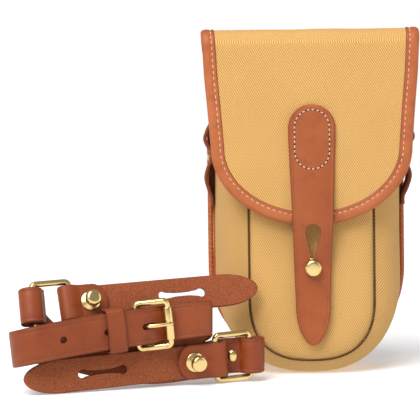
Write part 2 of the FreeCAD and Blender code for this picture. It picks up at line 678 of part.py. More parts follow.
def harness_parts():
    parts = {}
    parts.update(tongue_group("lower", lower_placement(), LOWER_RING_X, -1, TONGUE_TIP_LOWER,
                              TAB_END_LOWER, STUD_LOWER, (44.5, 69.5)))
    bar_gap = RING_L - 2.0 * BAR_R
    right_bar = upper_placement().multiply(FreeCAD.Placement(Vector(bar_gap, 0, 0), FreeCAD.Rotation()))
    parts.update(tongue_group("upper", right_bar, UPPER_RING_X + bar_gap, 1, TONGUE_TIP_UPPER,
                              TAB_END_UPPER, STUD_UPPER, (98.5, 123.5)))
    strap_a = placed(buckle_strap(), harness_placement())
    prong_slot = box_between(Vector(-5.0, -9, -2.4), Vector(9.0, 9, 2.4))
    parts["buckle_strap"] = strap_a.cut(placed(prong_slot, buckle_placement()))
    parts["holed_strap"] = placed(holed_strap(), harness_placement())
    rivet_middle = Vector(142.8, 13.1, lower_roll_height(142.8))
    parts["lower_roll_rivet"] = roll_rivet(rivet_middle, Vector(-0.25, -1, 0))
    parts["buckle_frame"] = buckle_frame()
    parts["buckle_roller"] = buckle_roller()
    parts["buckle_prong"] = buckle_prong()
    parts["keeper_loop"] = keeper_loop()
    return parts


def main():
    os.makedirs("parts", exist_ok=True)
    parts = pouch_parts()
    for side, name in ((-1, "left"), (1, "right")):
        parts["side_loop_" + name] = side_loop(side)
        parts["side_loop_rivet_" + name] = side_loop_rivet(side)
    parts.update(flap_parts())
    parts.update(closure_parts())
    parts["closure_stud"] = closure_stud()
    parts.update(harness_parts())
    for name, shape in parts.items():
        export(name, shape)


main()
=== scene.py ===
import math

import bmesh
import bpy
import numpy as np
from mathutils import Matrix, Vector
from mathutils.kdtree import KDTree


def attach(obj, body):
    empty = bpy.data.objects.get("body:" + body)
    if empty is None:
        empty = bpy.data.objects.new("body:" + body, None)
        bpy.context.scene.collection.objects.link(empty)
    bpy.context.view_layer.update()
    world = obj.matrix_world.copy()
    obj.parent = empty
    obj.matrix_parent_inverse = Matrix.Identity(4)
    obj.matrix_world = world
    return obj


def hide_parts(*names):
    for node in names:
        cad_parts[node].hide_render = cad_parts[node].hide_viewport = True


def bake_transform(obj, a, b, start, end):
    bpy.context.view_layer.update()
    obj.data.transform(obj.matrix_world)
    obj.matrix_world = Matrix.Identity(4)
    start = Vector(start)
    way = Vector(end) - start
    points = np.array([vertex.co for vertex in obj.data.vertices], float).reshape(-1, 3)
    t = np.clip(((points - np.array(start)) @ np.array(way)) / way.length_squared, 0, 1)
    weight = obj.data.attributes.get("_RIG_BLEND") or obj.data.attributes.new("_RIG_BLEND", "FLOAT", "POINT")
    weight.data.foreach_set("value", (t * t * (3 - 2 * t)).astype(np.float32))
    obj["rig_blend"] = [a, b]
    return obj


# Canvas accessory pouch and coiled leather harness strap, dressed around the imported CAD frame.
# All geometry below is written in millimetres and turned into metres when a mesh is made.

MM = 0.001
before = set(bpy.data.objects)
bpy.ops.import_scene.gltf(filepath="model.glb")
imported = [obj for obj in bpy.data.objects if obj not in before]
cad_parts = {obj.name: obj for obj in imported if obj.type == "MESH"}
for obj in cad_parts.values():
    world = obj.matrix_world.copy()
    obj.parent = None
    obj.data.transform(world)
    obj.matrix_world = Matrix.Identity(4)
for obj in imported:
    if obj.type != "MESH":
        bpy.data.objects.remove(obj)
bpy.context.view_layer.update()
scene = bpy.context.scene

# ---- Sizes shared with the CAD model ---------------------------------------------------
SEAM_Y = -31.0
BACK_HALF, FRONT_HALF, FRONT_BOTTOM, MOUTH_Z = 66.0, 40.0, 9.0, 208.0
GUSSET_SECTIONS = [          # y, half width, lowest z, roundness of the lower corners
    (22.6, 60.0, 4.2, 2.1),
    (16.0, 61.0, -0.4, 2.1),
    (2.0, 60.2, -1.2, 2.2),
    (-17.0, 55.0, -0.4, 2.3),
    (-25.5, 49.0, 3.6, 2.4),
    (SEAM_Y, 41.5, 8.4, 2.5),
]
FLAP_TOP, FLAP_HALF_TOP, FLAP_HALF_LOW, FLAP_ARC_Z, FLAP_LOW = 219.0, 69.0, 63.5, 145.0, 95.8
FLAP_Y = -43.0
BINDING_W = 8.5
CLOSURE_T, STUD_Z = 3.0, 69.0
SIDE_WALL = 61.1             # outside of the gusset where the side loops are sewn on
SEAM_POWER = 2.5             # roundness of the lower corners of the front seam
STRAP_W, STRAP_T, TONGUE_W = 21.8, 2.6, 20.8
BAR_R, RING_L, RING_H, ROLL_R, LOWER_ROLL_R = 1.9, 26.4, 31.4, 5.9, 6.3
LAYER = STRAP_T + 0.25
FOLD_R, FOLD_SLACK, LOWER_RING_RISE = BAR_R + 0.66 + STRAP_T / 2.0, 2.2, 0.7
LOWER_TILT, UPPER_TILT, UPPER_LEAN = 3.4, 3.2, 20.0
LOWER_RING = (129.6, 6.7, 17.4)
UPPER_RING = (17.3, 15.8, 52.6)
HEEL = (78.0, 4.8, 39.7)
BUCKLE_TILT, BUCKLE_PITCH = 6.5, 17.5
WIRE_R, BUCKLE_L, BUCKLE_H = 2.0, 19.5, 27.4
KEEPER_X, KEEPER_W, KEEPER_T, KEEPER_GAP = 62.8, 11.4, 1.8, 0.75
# How far the upper and lower side loops stand out, on the left and on the right.
LOOP_REACH = {-1: (6.2, 5.8), 1: (9.2, 7.0)}
BEND_X, BEND_Y = 17.6, 12.5   # centre of the coil's left bend
HOLE_R = 2.1                  # punched holes of the strap
STITCH_STEP = 0.4             # spacing of the points that stitches are placed on


# ---- Small numeric helpers ------------------------------------------------------------
def vec(*xyz):
    return np.array(xyz, float)


def unit(v):
    return v / max(float(np.linalg.norm(v)), 1e-9)


def arc(cx, cy, radius, start, end, count):
    angles = [math.radians(start + (end - start) * i / count) for i in range(count + 1)]
    return [(cx + radius * math.cos(a), cy + radius * math.sin(a)) for a in angles]


def turns(count):
    """Angles of one full turn, without its repeated end."""
    return np.linspace(0, 2 * math.pi, count + 1)[:-1]


def disc(x, z, radius, count, y=0.0):
    """Points of a circle in the XZ plane."""
    return [(x + radius * math.cos(a), y, z + radius * math.sin(a)) for a in turns(count)]


def cumulative(points):
    """Distance along a line of points, starting at zero."""
    return np.concatenate([[0.0], np.cumsum(np.linalg.norm(np.diff(points, axis=0), axis=1))])


def spread(points, step):
    """Catmull-Rom curve through the points, resampled at an even step; rows may have any width."""
    p = np.array(points, float)
    chord = np.sqrt(np.maximum(np.linalg.norm(np.diff(p[:, :3], axis=0), axis=1), 1e-6))
    knots = np.concatenate([[0.0], np.cumsum(chord)])
    fine = []
    for i in range(len(p) - 1):
        t0, t1 = knots[i], knots[i + 1]
        before = (p[i + 1] - p[i - 1]) / (knots[i + 1] - knots[i - 1]) if i > 0 else (p[1] - p[0]) / (t1 - t0)
        last = i + 2 >= len(p)
        after = (p[i + 1] - p[i]) / (t1 - t0) if last else (p[i + 2] - p[i]) / (knots[i + 2] - knots[i])
        for j in range(24):
            u = j / 24.0
            h = t1 - t0
            fine.append((2 * u**3 - 3 * u**2 + 1) * p[i] + (u**3 - 2 * u**2 + u) * h * before
                        + (-2 * u**3 + 3 * u**2) * p[i + 1] + (u**3 - u**2) * h * after)
    fine.append(p[-1])
    fine = np.array(fine)
    length = cumulative(fine[:, :3])
    count = max(2, int(round(length[-1] / step)) + 1)
    at = np.linspace(0.0, length[-1], count)
    return np.stack([np.interp(at, length, fine[:, k]) for k in range(p.shape[1])], axis=1)


def waves(x, y, scale, seed):
    """Smooth, fixed unevenness between about -1 and 1."""
    total = 0.0
    for k in range(4):
        angle = 1.7 * k + 0.9 * seed
        f = (0.8 + 0.45 * k) / scale
        total = total + np.sin(f * (x * math.cos(angle) + y * math.sin(angle)) * 2 * math.pi + 2.3 * k + seed)
    return total / 4.0


def to_space(points, placement):
    p = np.asarray(points, float)
    m = np.array(placement)
    return p @ m[:3, :3].T + m[:3, 3]


def turn(degrees, axis):
    return Matrix.Rotation(math.radians(degrees), 4, axis)


HARNESS = Matrix.Translation((-181.8, -114.0, -0.77)) @ turn(20.0, "Z") @ turn(0.76, "Y")
LOWER = HARNESS @ Matrix.Translation(LOWER_RING) @ turn(-LOWER_TILT, "Y")
UPPER = HARNESS @ Matrix.Translation(UPPER_RING) @ turn(-UPPER_TILT, "Y") @ turn(-UPPER_LEAN, "X")
BUCKLE = HARNESS @ Matrix.Translation(HEEL) @ turn(-BUCKLE_TILT, "Y") @ turn(-BUCKLE_PITCH, "Z")


# ---- Mesh helpers ----------------------------------------------------------------------
def make_mesh(name, points, faces, material, smooth=True, **attributes):
    """Mesh object from millimetre points; attributes are per-point values or vectors."""
    mesh = bpy.data.meshes.new(name)
    mesh.from_pydata((np.asarray(points, float) * MM).tolist(), [], faces)
    for key, value in attributes.items():
        value = np.asarray(value, np.float32)
        kind = "FLOAT_VECTOR" if value.ndim == 2 else "FLOAT"
        layer = mesh.attributes.new(key, kind, "POINT")
        layer.data.foreach_set("vector" if value.ndim == 2 else "value", value.ravel())
    mesh.materials.append(material)
    outward = bmesh.new()
    outward.from_mesh(mesh)
    bmesh.ops.recalc_face_normals(outward, faces=outward.faces)
    outward.to_mesh(mesh)
    outward.free()
    mesh.update()
    obj = bpy.data.objects.new(name, mesh)
    scene.collection.objects.link(obj)
    if smooth:
        mesh.polygons.foreach_set("use_smooth", [True] * len(mesh.polygons))
        mesh.set_sharp_from_angle(angle=math.radians(50))
    return obj


def ring_faces(rows, cols, close_rows=False, caps=True):
    """Faces of a tube made of rings of points."""
    faces = []
    for i in range(rows if close_rows else rows - 1):
        a, b = i * cols, ((i + 1) % rows) * cols
        for j in range(cols):
            k = (j + 1) % cols
            faces.append((a + j, a + k, b + k, b + j))
    if caps and not close_rows:
        faces.append(tuple(range(cols))[::-1])
        faces.append(tuple(range((rows - 1) * cols, rows * cols)))
    return faces


def sheet_faces(rows, cols):
    faces = []
    for i in range(rows - 1):
        for j in range(cols - 1):
            a = i * cols + j
            faces.append((a, a + 1, a + cols + 1, a + cols))
    return faces


def sheet_solid(name, grid, thickness, material, cloth, out_sign=1.0, **extra):
    """Cloth of one thickness: grid[row][col] is the outside, and the inside lies behind it."""
    rows, cols = grid.shape[:2]
    du = np.gradient(grid, axis=1)
    dv = np.gradient(grid, axis=0)
    normal = np.cross(du, dv)
    normal /= np.maximum(np.linalg.norm(normal, axis=2, keepdims=True), 1e-9)
    inside = grid - out_sign * normal * thickness
    points = np.concatenate([grid.reshape(-1, 3), inside.reshape(-1, 3)])
    count = rows * cols
    front = sheet_faces(rows, cols)
    back = [tuple(v + count for v in f[::-1]) for f in front]
    border = list(range(cols)) + [i * cols + cols - 1 for i in range(1, rows)]
    border += list(range(count - 2, count - cols - 1, -1)) + [i * cols for i in range(rows - 2, 0, -1)]
    rim = []
    for i, a in enumerate(border):
        b = border[(i + 1) % len(border)]
        rim.append((b, a, a + count, b + count))
    faces = front + back + rim
    if out_sign < 0:
        faces = [f[::-1] for f in faces]
    cloth = np.concatenate([cloth.reshape(-1, 3)] * 2)
    values = {key: np.concatenate([v.reshape(-1)] * 2) for key, v in extra.items()}
    return make_mesh(name, points, faces, material, cloth=cloth, **values)


def strap_section(half, thickness, crease):
    """Closed cross-section (across, out) of a strap with soft edges and two pressed lines."""
    r = min(thickness * 0.42, half * 0.45)
    top, flat = thickness / 2.0, half - r
    quarter = math.pi / 2

    def corner(side, height, start, end, skip=0):
        angles = np.linspace(start, end, 4)[skip:]
        return [(side * (flat + r * math.sin(a)), height + r * math.cos(a)) for a in angles]

    if crease > 0 and half > crease * 2:
        line = half - crease
        groove = [(line - 0.5, top), (line, top - 0.22), (line + 0.5, top)]
        upper = [(-flat, top)] + [(-w, h) for w, h in groove[::-1]] + [(-line * 0.5, top), (0.0, top)]
        upper += [(line * 0.5, top)] + groove + [(flat, top)]
    else:
        upper = [(flat * k / 5.0, top) for k in range(-5, 6)]
    section = upper + corner(1, top - r, 0.25, quarter)
    section += corner(1, -top + r, quarter, 2.9, 1)
    section += [(flat * k / 4.0, -top) for k in range(4, -5, -1)]
    section += corner(-1, -top + r, 2.9, quarter)
    section += corner(-1, top - r, quarter, 0.25, 1)
    return np.array(section)


def strap_mesh(name, stations, half_of, thickness, material, out=1.0, crease=0.0, closed=False,
               placement=None):
    """Leather strap along stations of (centre, across); half_of gives its half width at each station."""
    centre, across = stations[:, :3], stations[:, 3:6]
    rows = len(stations)
    along = np.gradient(centre, axis=0)
    if closed:
        along = np.roll(centre, -1, 0) - np.roll(centre, 1, 0)
    length = cumulative(centre)
    points, strap, edge = [], [], []
    full = max(half_of(i, length[i]) for i in range(rows))
    for i in range(rows):
        a = unit(across[i])
        t = unit(along[i] - a * float(along[i] @ a))
        n = np.cross(a, t) * out
        half = half_of(i, length[i])
        section = strap_section(full, thickness, crease)
        scale = half / full
        squeeze = 1.0 if scale > 0.5 else math.sqrt(max(scale, 0.02) / 0.5)
        for w, h in section:
            points.append(centre[i] + a * w * scale + n * h * squeeze)
            strap.append((length[i], w * scale, h / (thickness / 2.0)))
            edge.append(full - abs(w))
    cols = len(section)
    if placement is not None:
        points = to_space(points, placement)
    faces = ring_faces(rows, cols, closed)
    if out < 0:
        faces = [f[::-1] for f in faces]
    return make_mesh(name, points, faces, material, strap=np.array(strap), edge=np.array(edge))


def cut(obj, cutters):
    """Boolean difference; attribute values on new points come from the nearest old points."""
    old = obj.data
    names = [a.name for a in old.attributes if a.name in ("strap", "edge", "cloth")]
    source = {}
    for key in names:
        data = old.attributes[key].data
        width = 3 if old.attributes[key].data_type == "FLOAT_VECTOR" else 1
        values = np.zeros(len(data) * width, np.float32)
        data.foreach_get("vector" if width == 3 else "value", values)
        source[key] = values.reshape(-1, width)
    tree = KDTree(len(old.vertices))
    for i, v in enumerate(old.vertices):
        tree.insert(v.co, i)
    tree.balance()
    for cutter in cutters:
        mod = obj.modifiers.new("cut", "BOOLEAN")
        mod.operation, mod.solver, mod.object = "DIFFERENCE", "EXACT", cutter
    bpy.context.view_layer.update()
    mesh = bpy.data.meshes.new_from_object(obj.evaluated_get(bpy.context.evaluated_depsgraph_get()))
    obj.modifiers.clear()
    obj.data = mesh
    for cutter in cutters:
        bpy.data.objects.remove(cutter)
    nearest = [tree.find_n(v.co, 3) for v in mesh.vertices]
    for key in names:
        values = []
        for found in nearest:
            weights = np.array([1.0 / (f[2] + 1e-6) for f in found])
            values.append((source[key][[f[1] for f in found]] * weights[:, None]).sum(0) / weights.sum())
        values = np.array(values, np.float32)
        if key in mesh.attributes:
            mesh.attributes.remove(mesh.attributes[key])
        vector = values.shape[1] == 3
        layer = mesh.attributes.new(key, "FLOAT_VECTOR" if vector else "FLOAT", "POINT")
        layer.data.foreach_set("vector" if vector else "value", values.ravel())
    mesh.polygons.foreach_set("use_smooth", [True] * len(mesh.polygons))
    mesh.set_sharp_from_angle(angle=math.radians(40))
    return obj


def prism_cutter(outline, direction, placement=None):
    """Closed prism over an outline of points, used only to cut."""
    low = np.array(outline, float)
    high = low + np.array(direction, float)
    points = np.concatenate([low, high])
    if placement is not None:
        points = to_space(points, placement)
    count = len(low)
    faces = [tuple(range(count))[::-1], tuple(range(count, 2 * count))]
    for i in range(count):
        j = (i + 1) % count
        faces.append((i, j, j + count, i + count))
    obj = make_mesh("cutter", points, faces, PLAIN, smooth=False)
    obj.data.validate()
    return obj


def lathe(name, profile, base, axis, material, segments=48, placement=None):
    """Turned piece; the profile is (distance along the axis, radius)."""
    axis = unit(vec(*axis))
    side = unit(np.cross(axis, vec(0.3, 0.2, 1.0)))
    other = np.cross(axis, side)
    points = []
    for h, r in profile:
        for k in range(segments):
            a = 2 * math.pi * k / segments
            points.append(vec(*base) + axis * h + (side * math.cos(a) + other * math.sin(a)) * r)
    if placement is not None:
        points = to_space(points, placement)
    return make_mesh(name, points, ring_faces(len(profile), segments), material)


def wire(name, path, radius, normal, material, closed=True, placement=None, flatten=1.0):
    """Round wire along a plane path whose plane has the given normal."""
    path = np.array(path, float)
    normal = unit(vec(*normal))
    along = np.roll(path, -1, 0) - np.roll(path, 1, 0) if closed else np.gradient(path, axis=0)
    points = []
    for p, t in zip(path, along):
        side = unit(np.cross(unit(t), normal))
        for k in range(16):
            a = 2 * math.pi * k / 16
            points.append(p + side * math.cos(a) * radius + normal * math.sin(a) * radius * flatten)
    if placement is not None:
        points = to_space(points, placement)
    return make_mesh(name, points, ring_faces(len(path), 16, closed), material)


def ring_path(length, height, radius, corner):
    """Rounded rectangle in the XZ plane with its left bar on the Z axis."""
    x1, z1 = length - 2 * radius, height / 2.0 - radius
    centres = [(x1 - corner, -z1 + corner, -90), (x1 - corner, z1 - corner, 0),
               (corner, z1 - corner, 90), (corner, -z1 + corner, 180)]
    path = []
    for cx, cz, start in centres:
        path += [(x, 0.0, z) for x, z in arc(cx, cz, corner, start, start + 90, 8)]
    return path


def stitches(name, path, normals, pitch, length, radius, material, lean=0.0):
    """Short rounded threads along a path; a lean turns each one across the seam."""
    data = spread(np.concatenate([path, normals], axis=1), STITCH_STEP)
    steps = int((len(data) - 1) * STITCH_STEP / pitch)
    points, faces = [], []
    for i in range(steps):
        at = int((i + 0.5) * pitch / STITCH_STEP)
        p, n = data[at, :3], unit(data[at, 3:6])
        t = unit(data[min(at + 1, len(data) - 1), :3] - data[max(at - 1, 0), :3])
        b = np.cross(n, t)
        d = unit(t * math.cos(lean) + b * math.sin(lean))
        c = np.cross(n, d)
        start = len(points)
        for s in np.linspace(-1, 1, 7):
            r = radius * math.sqrt(max(1 - s**4, 0.03))
            lift = radius * (0.55 - 0.9 * s * s)
            for k in range(8):
                a = 2 * math.pi * k / 8
                height = lift + math.sin(a) * r * 0.8
                points.append(p + d * s * length / 2 + n * height + c * math.cos(a) * r)
        faces += [tuple(v + start for v in f) for f in ring_faces(7, 8)]
    return make_mesh(name, points, faces, material)


# ---- Materials ---------------------------------------------------------------------------
class Graph:
    """Small helper that builds one Principled material node by node."""

    def __init__(self, name, roughness=0.5, metallic=0.0, specular=0.5):
        self.material = bpy.data.materials.new(name)
        self.material.use_nodes = True
        self.tree = self.material.node_tree
        self.shader = self.tree.nodes["Principled BSDF"]
        self.shader.inputs["Roughness"].default_value = roughness
        self.shader.inputs["Metallic"].default_value = metallic
        self.shader.inputs["Specular IOR Level"].default_value = specular

    def put(self, socket, value):
        if isinstance(value, bpy.types.NodeSocket):
            self.tree.links.new(value, socket)
        else:
            socket.default_value = value

    @staticmethod
    def rgba(color):
        return color if isinstance(color, bpy.types.NodeSocket) else (*color, 1.0)

    def attribute(self, name, output="Vector"):
        node = self.tree.nodes.new("ShaderNodeAttribute")
        node.attribute_name = name
        return node.outputs[output]

    def place(self):
        return self.tree.nodes.new("ShaderNodeTexCoord").outputs["Object"]

    def split(self, vector):
        node = self.tree.nodes.new("ShaderNodeSeparateXYZ")
        self.put(node.inputs[0], vector)
        return node.outputs

    def math(self, operation, a, b=0.0, clamp=False):
        node = self.tree.nodes.new("ShaderNodeMath")
        node.operation, node.use_clamp = operation, clamp
        self.put(node.inputs[0], a)
        self.put(node.inputs[1], b)
        return node.outputs[0]

    def dot(self, vector, direction):
        node = self.tree.nodes.new("ShaderNodeVectorMath")
        node.operation = "DOT_PRODUCT"
        self.put(node.inputs[0], vector)
        node.inputs[1].default_value = direction
        return node.outputs["Value"]

    def noise(self, vector, scale, detail=3.0, rough=0.5):
        node = self.tree.nodes.new("ShaderNodeTexNoise")
        self.put(node.inputs["Vector"], vector)
        node.inputs["Scale"].default_value = scale
        node.inputs["Detail"].default_value = detail
        node.inputs["Roughness"].default_value = rough
        return node.outputs["Fac"]

    def cells(self, vector, scale):
        node = self.tree.nodes.new("ShaderNodeTexVoronoi")
        node.feature = "DISTANCE_TO_EDGE"
        self.put(node.inputs["Vector"], vector)
        node.inputs["Scale"].default_value = scale
        return node.outputs["Distance"]

    def step(self, value, low, high, to_low=0.0, to_high=1.0):
        node = self.tree.nodes.new("ShaderNodeMapRange")
        node.interpolation_type = "SMOOTHSTEP"
        self.put(node.inputs["Value"], value)
        for key, number in zip(("From Min", "From Max", "To Min", "To Max"), (low, high, to_low, to_high)):
            node.inputs[key].default_value = number
        return node.outputs["Result"]

    def blend(self, share, a, b, mode="MIX"):
        node = self.tree.nodes.new("ShaderNodeMix")
        node.data_type, node.blend_type = "RGBA", mode
        self.put(node.inputs["Factor"], share)
        self.put(node.inputs["A"], self.rgba(a))
        self.put(node.inputs["B"], self.rgba(b))
        return node.outputs["Result"]

    def bump(self, height, distance, strength=1.0, under=None):
        node = self.tree.nodes.new("ShaderNodeBump")
        node.inputs["Distance"].default_value = distance
        node.inputs["Strength"].default_value = strength
        self.put(node.inputs["Height"], height)
        if under is not None:
            self.put(node.inputs["Normal"], under)
        return node.outputs["Normal"]

    def finish(self, color, normal=None, roughness=None):
        self.put(self.shader.inputs["Base Color"], self.rgba(color))
        if normal is not None:
            self.put(self.shader.inputs["Normal"], normal)
        if roughness is not None:
            self.put(self.shader.inputs["Roughness"], roughness)
        return self.material


def twill(name, light, dark, angle, pitch=1.25):
    """Canvas twill: diagonal ribs with finer yarns across them; 'cloth' holds millimetres on the cloth."""
    g = Graph(name, roughness=0.9, specular=0.25)
    cloth = g.attribute("cloth")
    ca, sa = math.cos(math.radians(angle)), math.sin(math.radians(angle))
    wander = g.noise(cloth, 0.05, 2.0)
    rib_at = g.math("ADD", g.dot(cloth, (ca * 2 * math.pi / pitch, sa * 2 * math.pi / pitch, 0.0)),
                    g.math("MULTIPLY", wander, 3.0))
    rib = g.math("ADD", g.math("MULTIPLY", g.math("SINE", rib_at), 0.5), 0.5)
    yarn_at = g.dot(cloth, (0.0, 2 * math.pi / 0.62, 0.0))
    yarn = g.math("ADD", g.math("MULTIPLY", g.math("SINE", yarn_at), 0.5), 0.5)
    fuzz = g.noise(cloth, 3.2, 4.0, 0.65)
    broad = g.noise(cloth, 0.018, 3.0, 0.5)
    share = g.math("ADD", g.math("MULTIPLY", rib, 0.85), g.math("MULTIPLY", fuzz, 0.28), clamp=True)
    color = g.blend(share, dark, light)
    tint = tuple(c * 0.86 for c in light)
    color = g.blend(g.math("MULTIPLY", g.step(broad, 0.35, 0.7), 0.25), color, tint)
    color = g.blend(g.math("MULTIPLY", yarn, 0.08), color, dark)
    height = g.math("ADD", g.math("MULTIPLY", rib, 0.8), g.math("MULTIPLY", yarn, 0.25))
    height = g.math("ADD", height, g.math("MULTIPLY", fuzz, 0.35))
    normal = g.bump(height, 0.00030, 1.0)
    g.shader.inputs["Sheen Weight"].default_value = 0.04
    g.shader.inputs["Sheen Roughness"].default_value = 0.5
    return g.finish(color, normal)


def leather(name, light, mid, dark, flesh_a, flesh_b, rim, roughness=0.42, grain=0.00010):
    """Vegetable-tanned leather: smooth grain outside, speckled flesh inside, burnished edges."""
    g = Graph(name, roughness=roughness, specular=0.32)
    place = g.place()
    side = g.split(g.attribute("strap"))[2]
    edge = g.attribute("edge", "Fac")
    broad = g.noise(place, 22.0, 4.0, 0.55)
    cloud = g.noise(place, 90.0, 4.0, 0.6)
    color = g.blend(g.step(broad, 0.36, 0.66), mid, light)
    color = g.blend(g.math("MULTIPLY", g.step(cloud, 0.45, 0.75), 0.45), color, dark)
    pores = g.cells(place, 1500.0)
    color = g.blend(g.math("MULTIPLY", g.step(pores, 0.0, 0.12, 1.0, 0.0), 0.12), color, dark)
    press = g.math("MULTIPLY", g.step(edge, 0.0, 1.8, 1.0, 0.0), 0.7)
    color = g.blend(press, color, dark)
    speck = g.noise(place, 1300.0, 4.0, 0.7)
    patch = g.noise(place, 160.0, 3.0, 0.6)
    flesh = g.blend(g.step(speck, 0.36, 0.64), flesh_b, flesh_a)
    flesh = g.blend(g.math("MULTIPLY", g.step(patch, 0.42, 0.75), 0.15), flesh, rim)
    is_flesh = g.step(side, -0.7, -0.95)
    is_rim = g.math("SUBTRACT", g.step(side, 0.72, 0.5), is_flesh, clamp=True)
    color = g.blend(is_flesh, color, flesh)
    color = g.blend(g.math("MULTIPLY", is_rim, 0.8), color, rim)
    fine = g.noise(place, 700.0, 4.0, 0.6)
    height = g.math("ADD", g.math("MULTIPLY", g.step(pores, 0.0, 0.2), 0.5), g.math("MULTIPLY", fine, 0.6))
    rough_height = g.math("MULTIPLY", speck, 1.6)
    mixed = g.tree.nodes.new("ShaderNodeMix")
    g.put(mixed.inputs[0], is_flesh)
    g.put(mixed.inputs[2], height)
    g.put(mixed.inputs[3], rough_height)
    normal = g.bump(mixed.outputs[0], grain, 0.7)
    rough = g.step(is_flesh, 0.0, 1.0, roughness, 0.88)
    rough = g.math("ADD", rough, g.math("MULTIPLY", g.math("SUBTRACT", cloud, 0.5), 0.16))
    return g.finish(color, normal, rough)


def metal(name, light, dark, roughness):
    """Polished brass with a little tarnish and fine wear."""
    g = Graph(name, roughness=roughness, metallic=1.0)
    place = g.place()
    tarnish = g.noise(place, 160.0, 4.0, 0.6)
    fine = g.noise(place, 1400.0, 3.0, 0.6)
    color = g.blend(g.math("MULTIPLY", g.step(tarnish, 0.5, 0.8), 0.5), light, dark)
    rough = g.math("ADD", g.step(fine, 0.3, 0.7, roughness - 0.02, roughness + 0.04),
                   g.math("MULTIPLY", g.step(tarnish, 0.5, 0.8), 0.05))
    return g.finish(color, g.bump(fine, 0.000006, 0.3), rough)


# Thread colours; also used for the painted shade of the stitch holes and of the seam valley.
def thread_and_shade_material(name, light, dark):
    g = Graph(name, roughness=0.75, specular=0.3)
    place = g.place()
    twist = g.noise(place, 2600.0, 2.0, 0.6)
    color = g.blend(g.step(twist, 0.35, 0.65), dark, light)
    return g.finish(color, g.bump(twist, 0.00008, 0.6))


def floor_material():
    g = Graph("floor_paper", roughness=0.7, specular=0.1)
    mottling = g.noise(g.place(), 14.0, 2.0, 0.5)
    g.shader.inputs["Emission Color"].default_value = (1.0, 1.0, 1.0, 1.0)
    g.shader.inputs["Emission Strength"].default_value = 0.22
    return g.finish(g.blend(mottling, (0.93, 0.93, 0.93), (0.95, 0.95, 0.95)))


CANVAS_LIGHT, CANVAS_DARK = (0.84, 0.50, 0.175), (0.42, 0.205, 0.050)
PLAIN = bpy.data.materials.new("plain")
CANVAS = twill("canvas_twill", CANVAS_LIGHT, CANVAS_DARK, 32.0)
CANVAS_SIDE = twill("canvas_twill_side", CANVAS_LIGHT, CANVAS_DARK, -32.0)
LINING_CLOTH = twill("lining_cloth", (0.36, 0.26, 0.15), (0.25, 0.17, 0.09), 45.0, 0.9)
TAN = leather("tan_leather", (0.50, 0.140, 0.042), (0.43, 0.108, 0.030), (0.22, 0.045, 0.014),
              (0.36, 0.17, 0.10), (0.22, 0.10, 0.055), (0.17, 0.045, 0.018))
STRAP_LEATHER = leather("strap_leather", (0.38, 0.094, 0.025), (0.33, 0.074, 0.018), (0.21, 0.04, 0.012),
                        (0.36, 0.17, 0.10), (0.22, 0.10, 0.055), (0.22, 0.055, 0.02))
COGNAC = leather("harness_leather", (0.29, 0.062, 0.014), (0.24, 0.045, 0.009), (0.15, 0.027, 0.007),
                 (0.36, 0.098, 0.033), (0.20, 0.045, 0.016), (0.16, 0.036, 0.013))
BRASS = metal("brass", (0.74, 0.56, 0.24), (0.50, 0.34, 0.11), 0.20)
CREAM = thread_and_shade_material("cream_thread", (0.78, 0.63, 0.43), (0.48, 0.35, 0.21))
RUSSET = thread_and_shade_material("russet_thread", (0.62, 0.22, 0.07), (0.33, 0.09, 0.03))
# Near-black painted shade for the discs at the punched stitch holes.
HOLE_SHADE = thread_and_shade_material("stitch_hole_shade", (0.05, 0.018, 0.01), (0.02, 0.008, 0.005))
# Dark brown painted shade for the strip that lies in the valley of the front seam.
SEAM_SHADE = thread_and_shade_material("seam_shade_strip", (0.13, 0.065, 0.02), (0.06, 0.028, 0.009))


# ---- Pouch body -----------------------------------------------------------------------------
def outline(half, bottom, power, inset=0.0, top=MOUTH_Z, sides=24, curve=72):
    """U-shaped outline from top right, round the bottom, to top left, as (x, z)."""
    a, low = half - inset, bottom + inset
    b = half - inset
    right = [(a, top + (low + b - top) * i / sides) for i in range(sides)]
    lower = []
    for i in range(curve + 1):
        t = math.pi * i / curve
        x = math.copysign(abs(math.cos(t)) ** (2.0 / power), math.cos(t)) * a
        lower.append((x, low + b - abs(math.sin(t)) ** (2.0 / power) * b))
    left = [(-x, z) for x, z in right[::-1]]
    return np.array(right + lower + left)


def even(points, count):
    """The same line with evenly spaced points."""
    length = cumulative(points)
    at = np.linspace(0.0, length[-1], count)
    return np.stack([np.interp(at, length, points[:, k]) for k in range(points.shape[1])], axis=1)


def smooth_interp(x, xs, ys):
    """Monotone-looking cubic through a few values, for any x between them."""
    table = spread(np.stack([xs, ys, np.zeros(len(xs))], axis=1), 0.25)
    order = np.argsort(table[:, 0])
    return np.interp(x, table[order, 0], table[order, 1])


def gusset_section(y):
    """Half width, lowest z and corner roundness of the gusset at one depth."""
    table = np.array(GUSSET_SECTIONS)
    return [float(smooth_interp(y, table[:, 0], table[:, k])) for k in (1, 2, 3)]


def gusset_point_rows(depths):
    rows = []
    for y in depths:
        half, low, power = gusset_section(y)
        line = even(outline(half, low, power), 240)
        rows.append(np.stack([line[:, 0], np.full(len(line), y), line[:, 1]], axis=1))
    return np.array(rows)


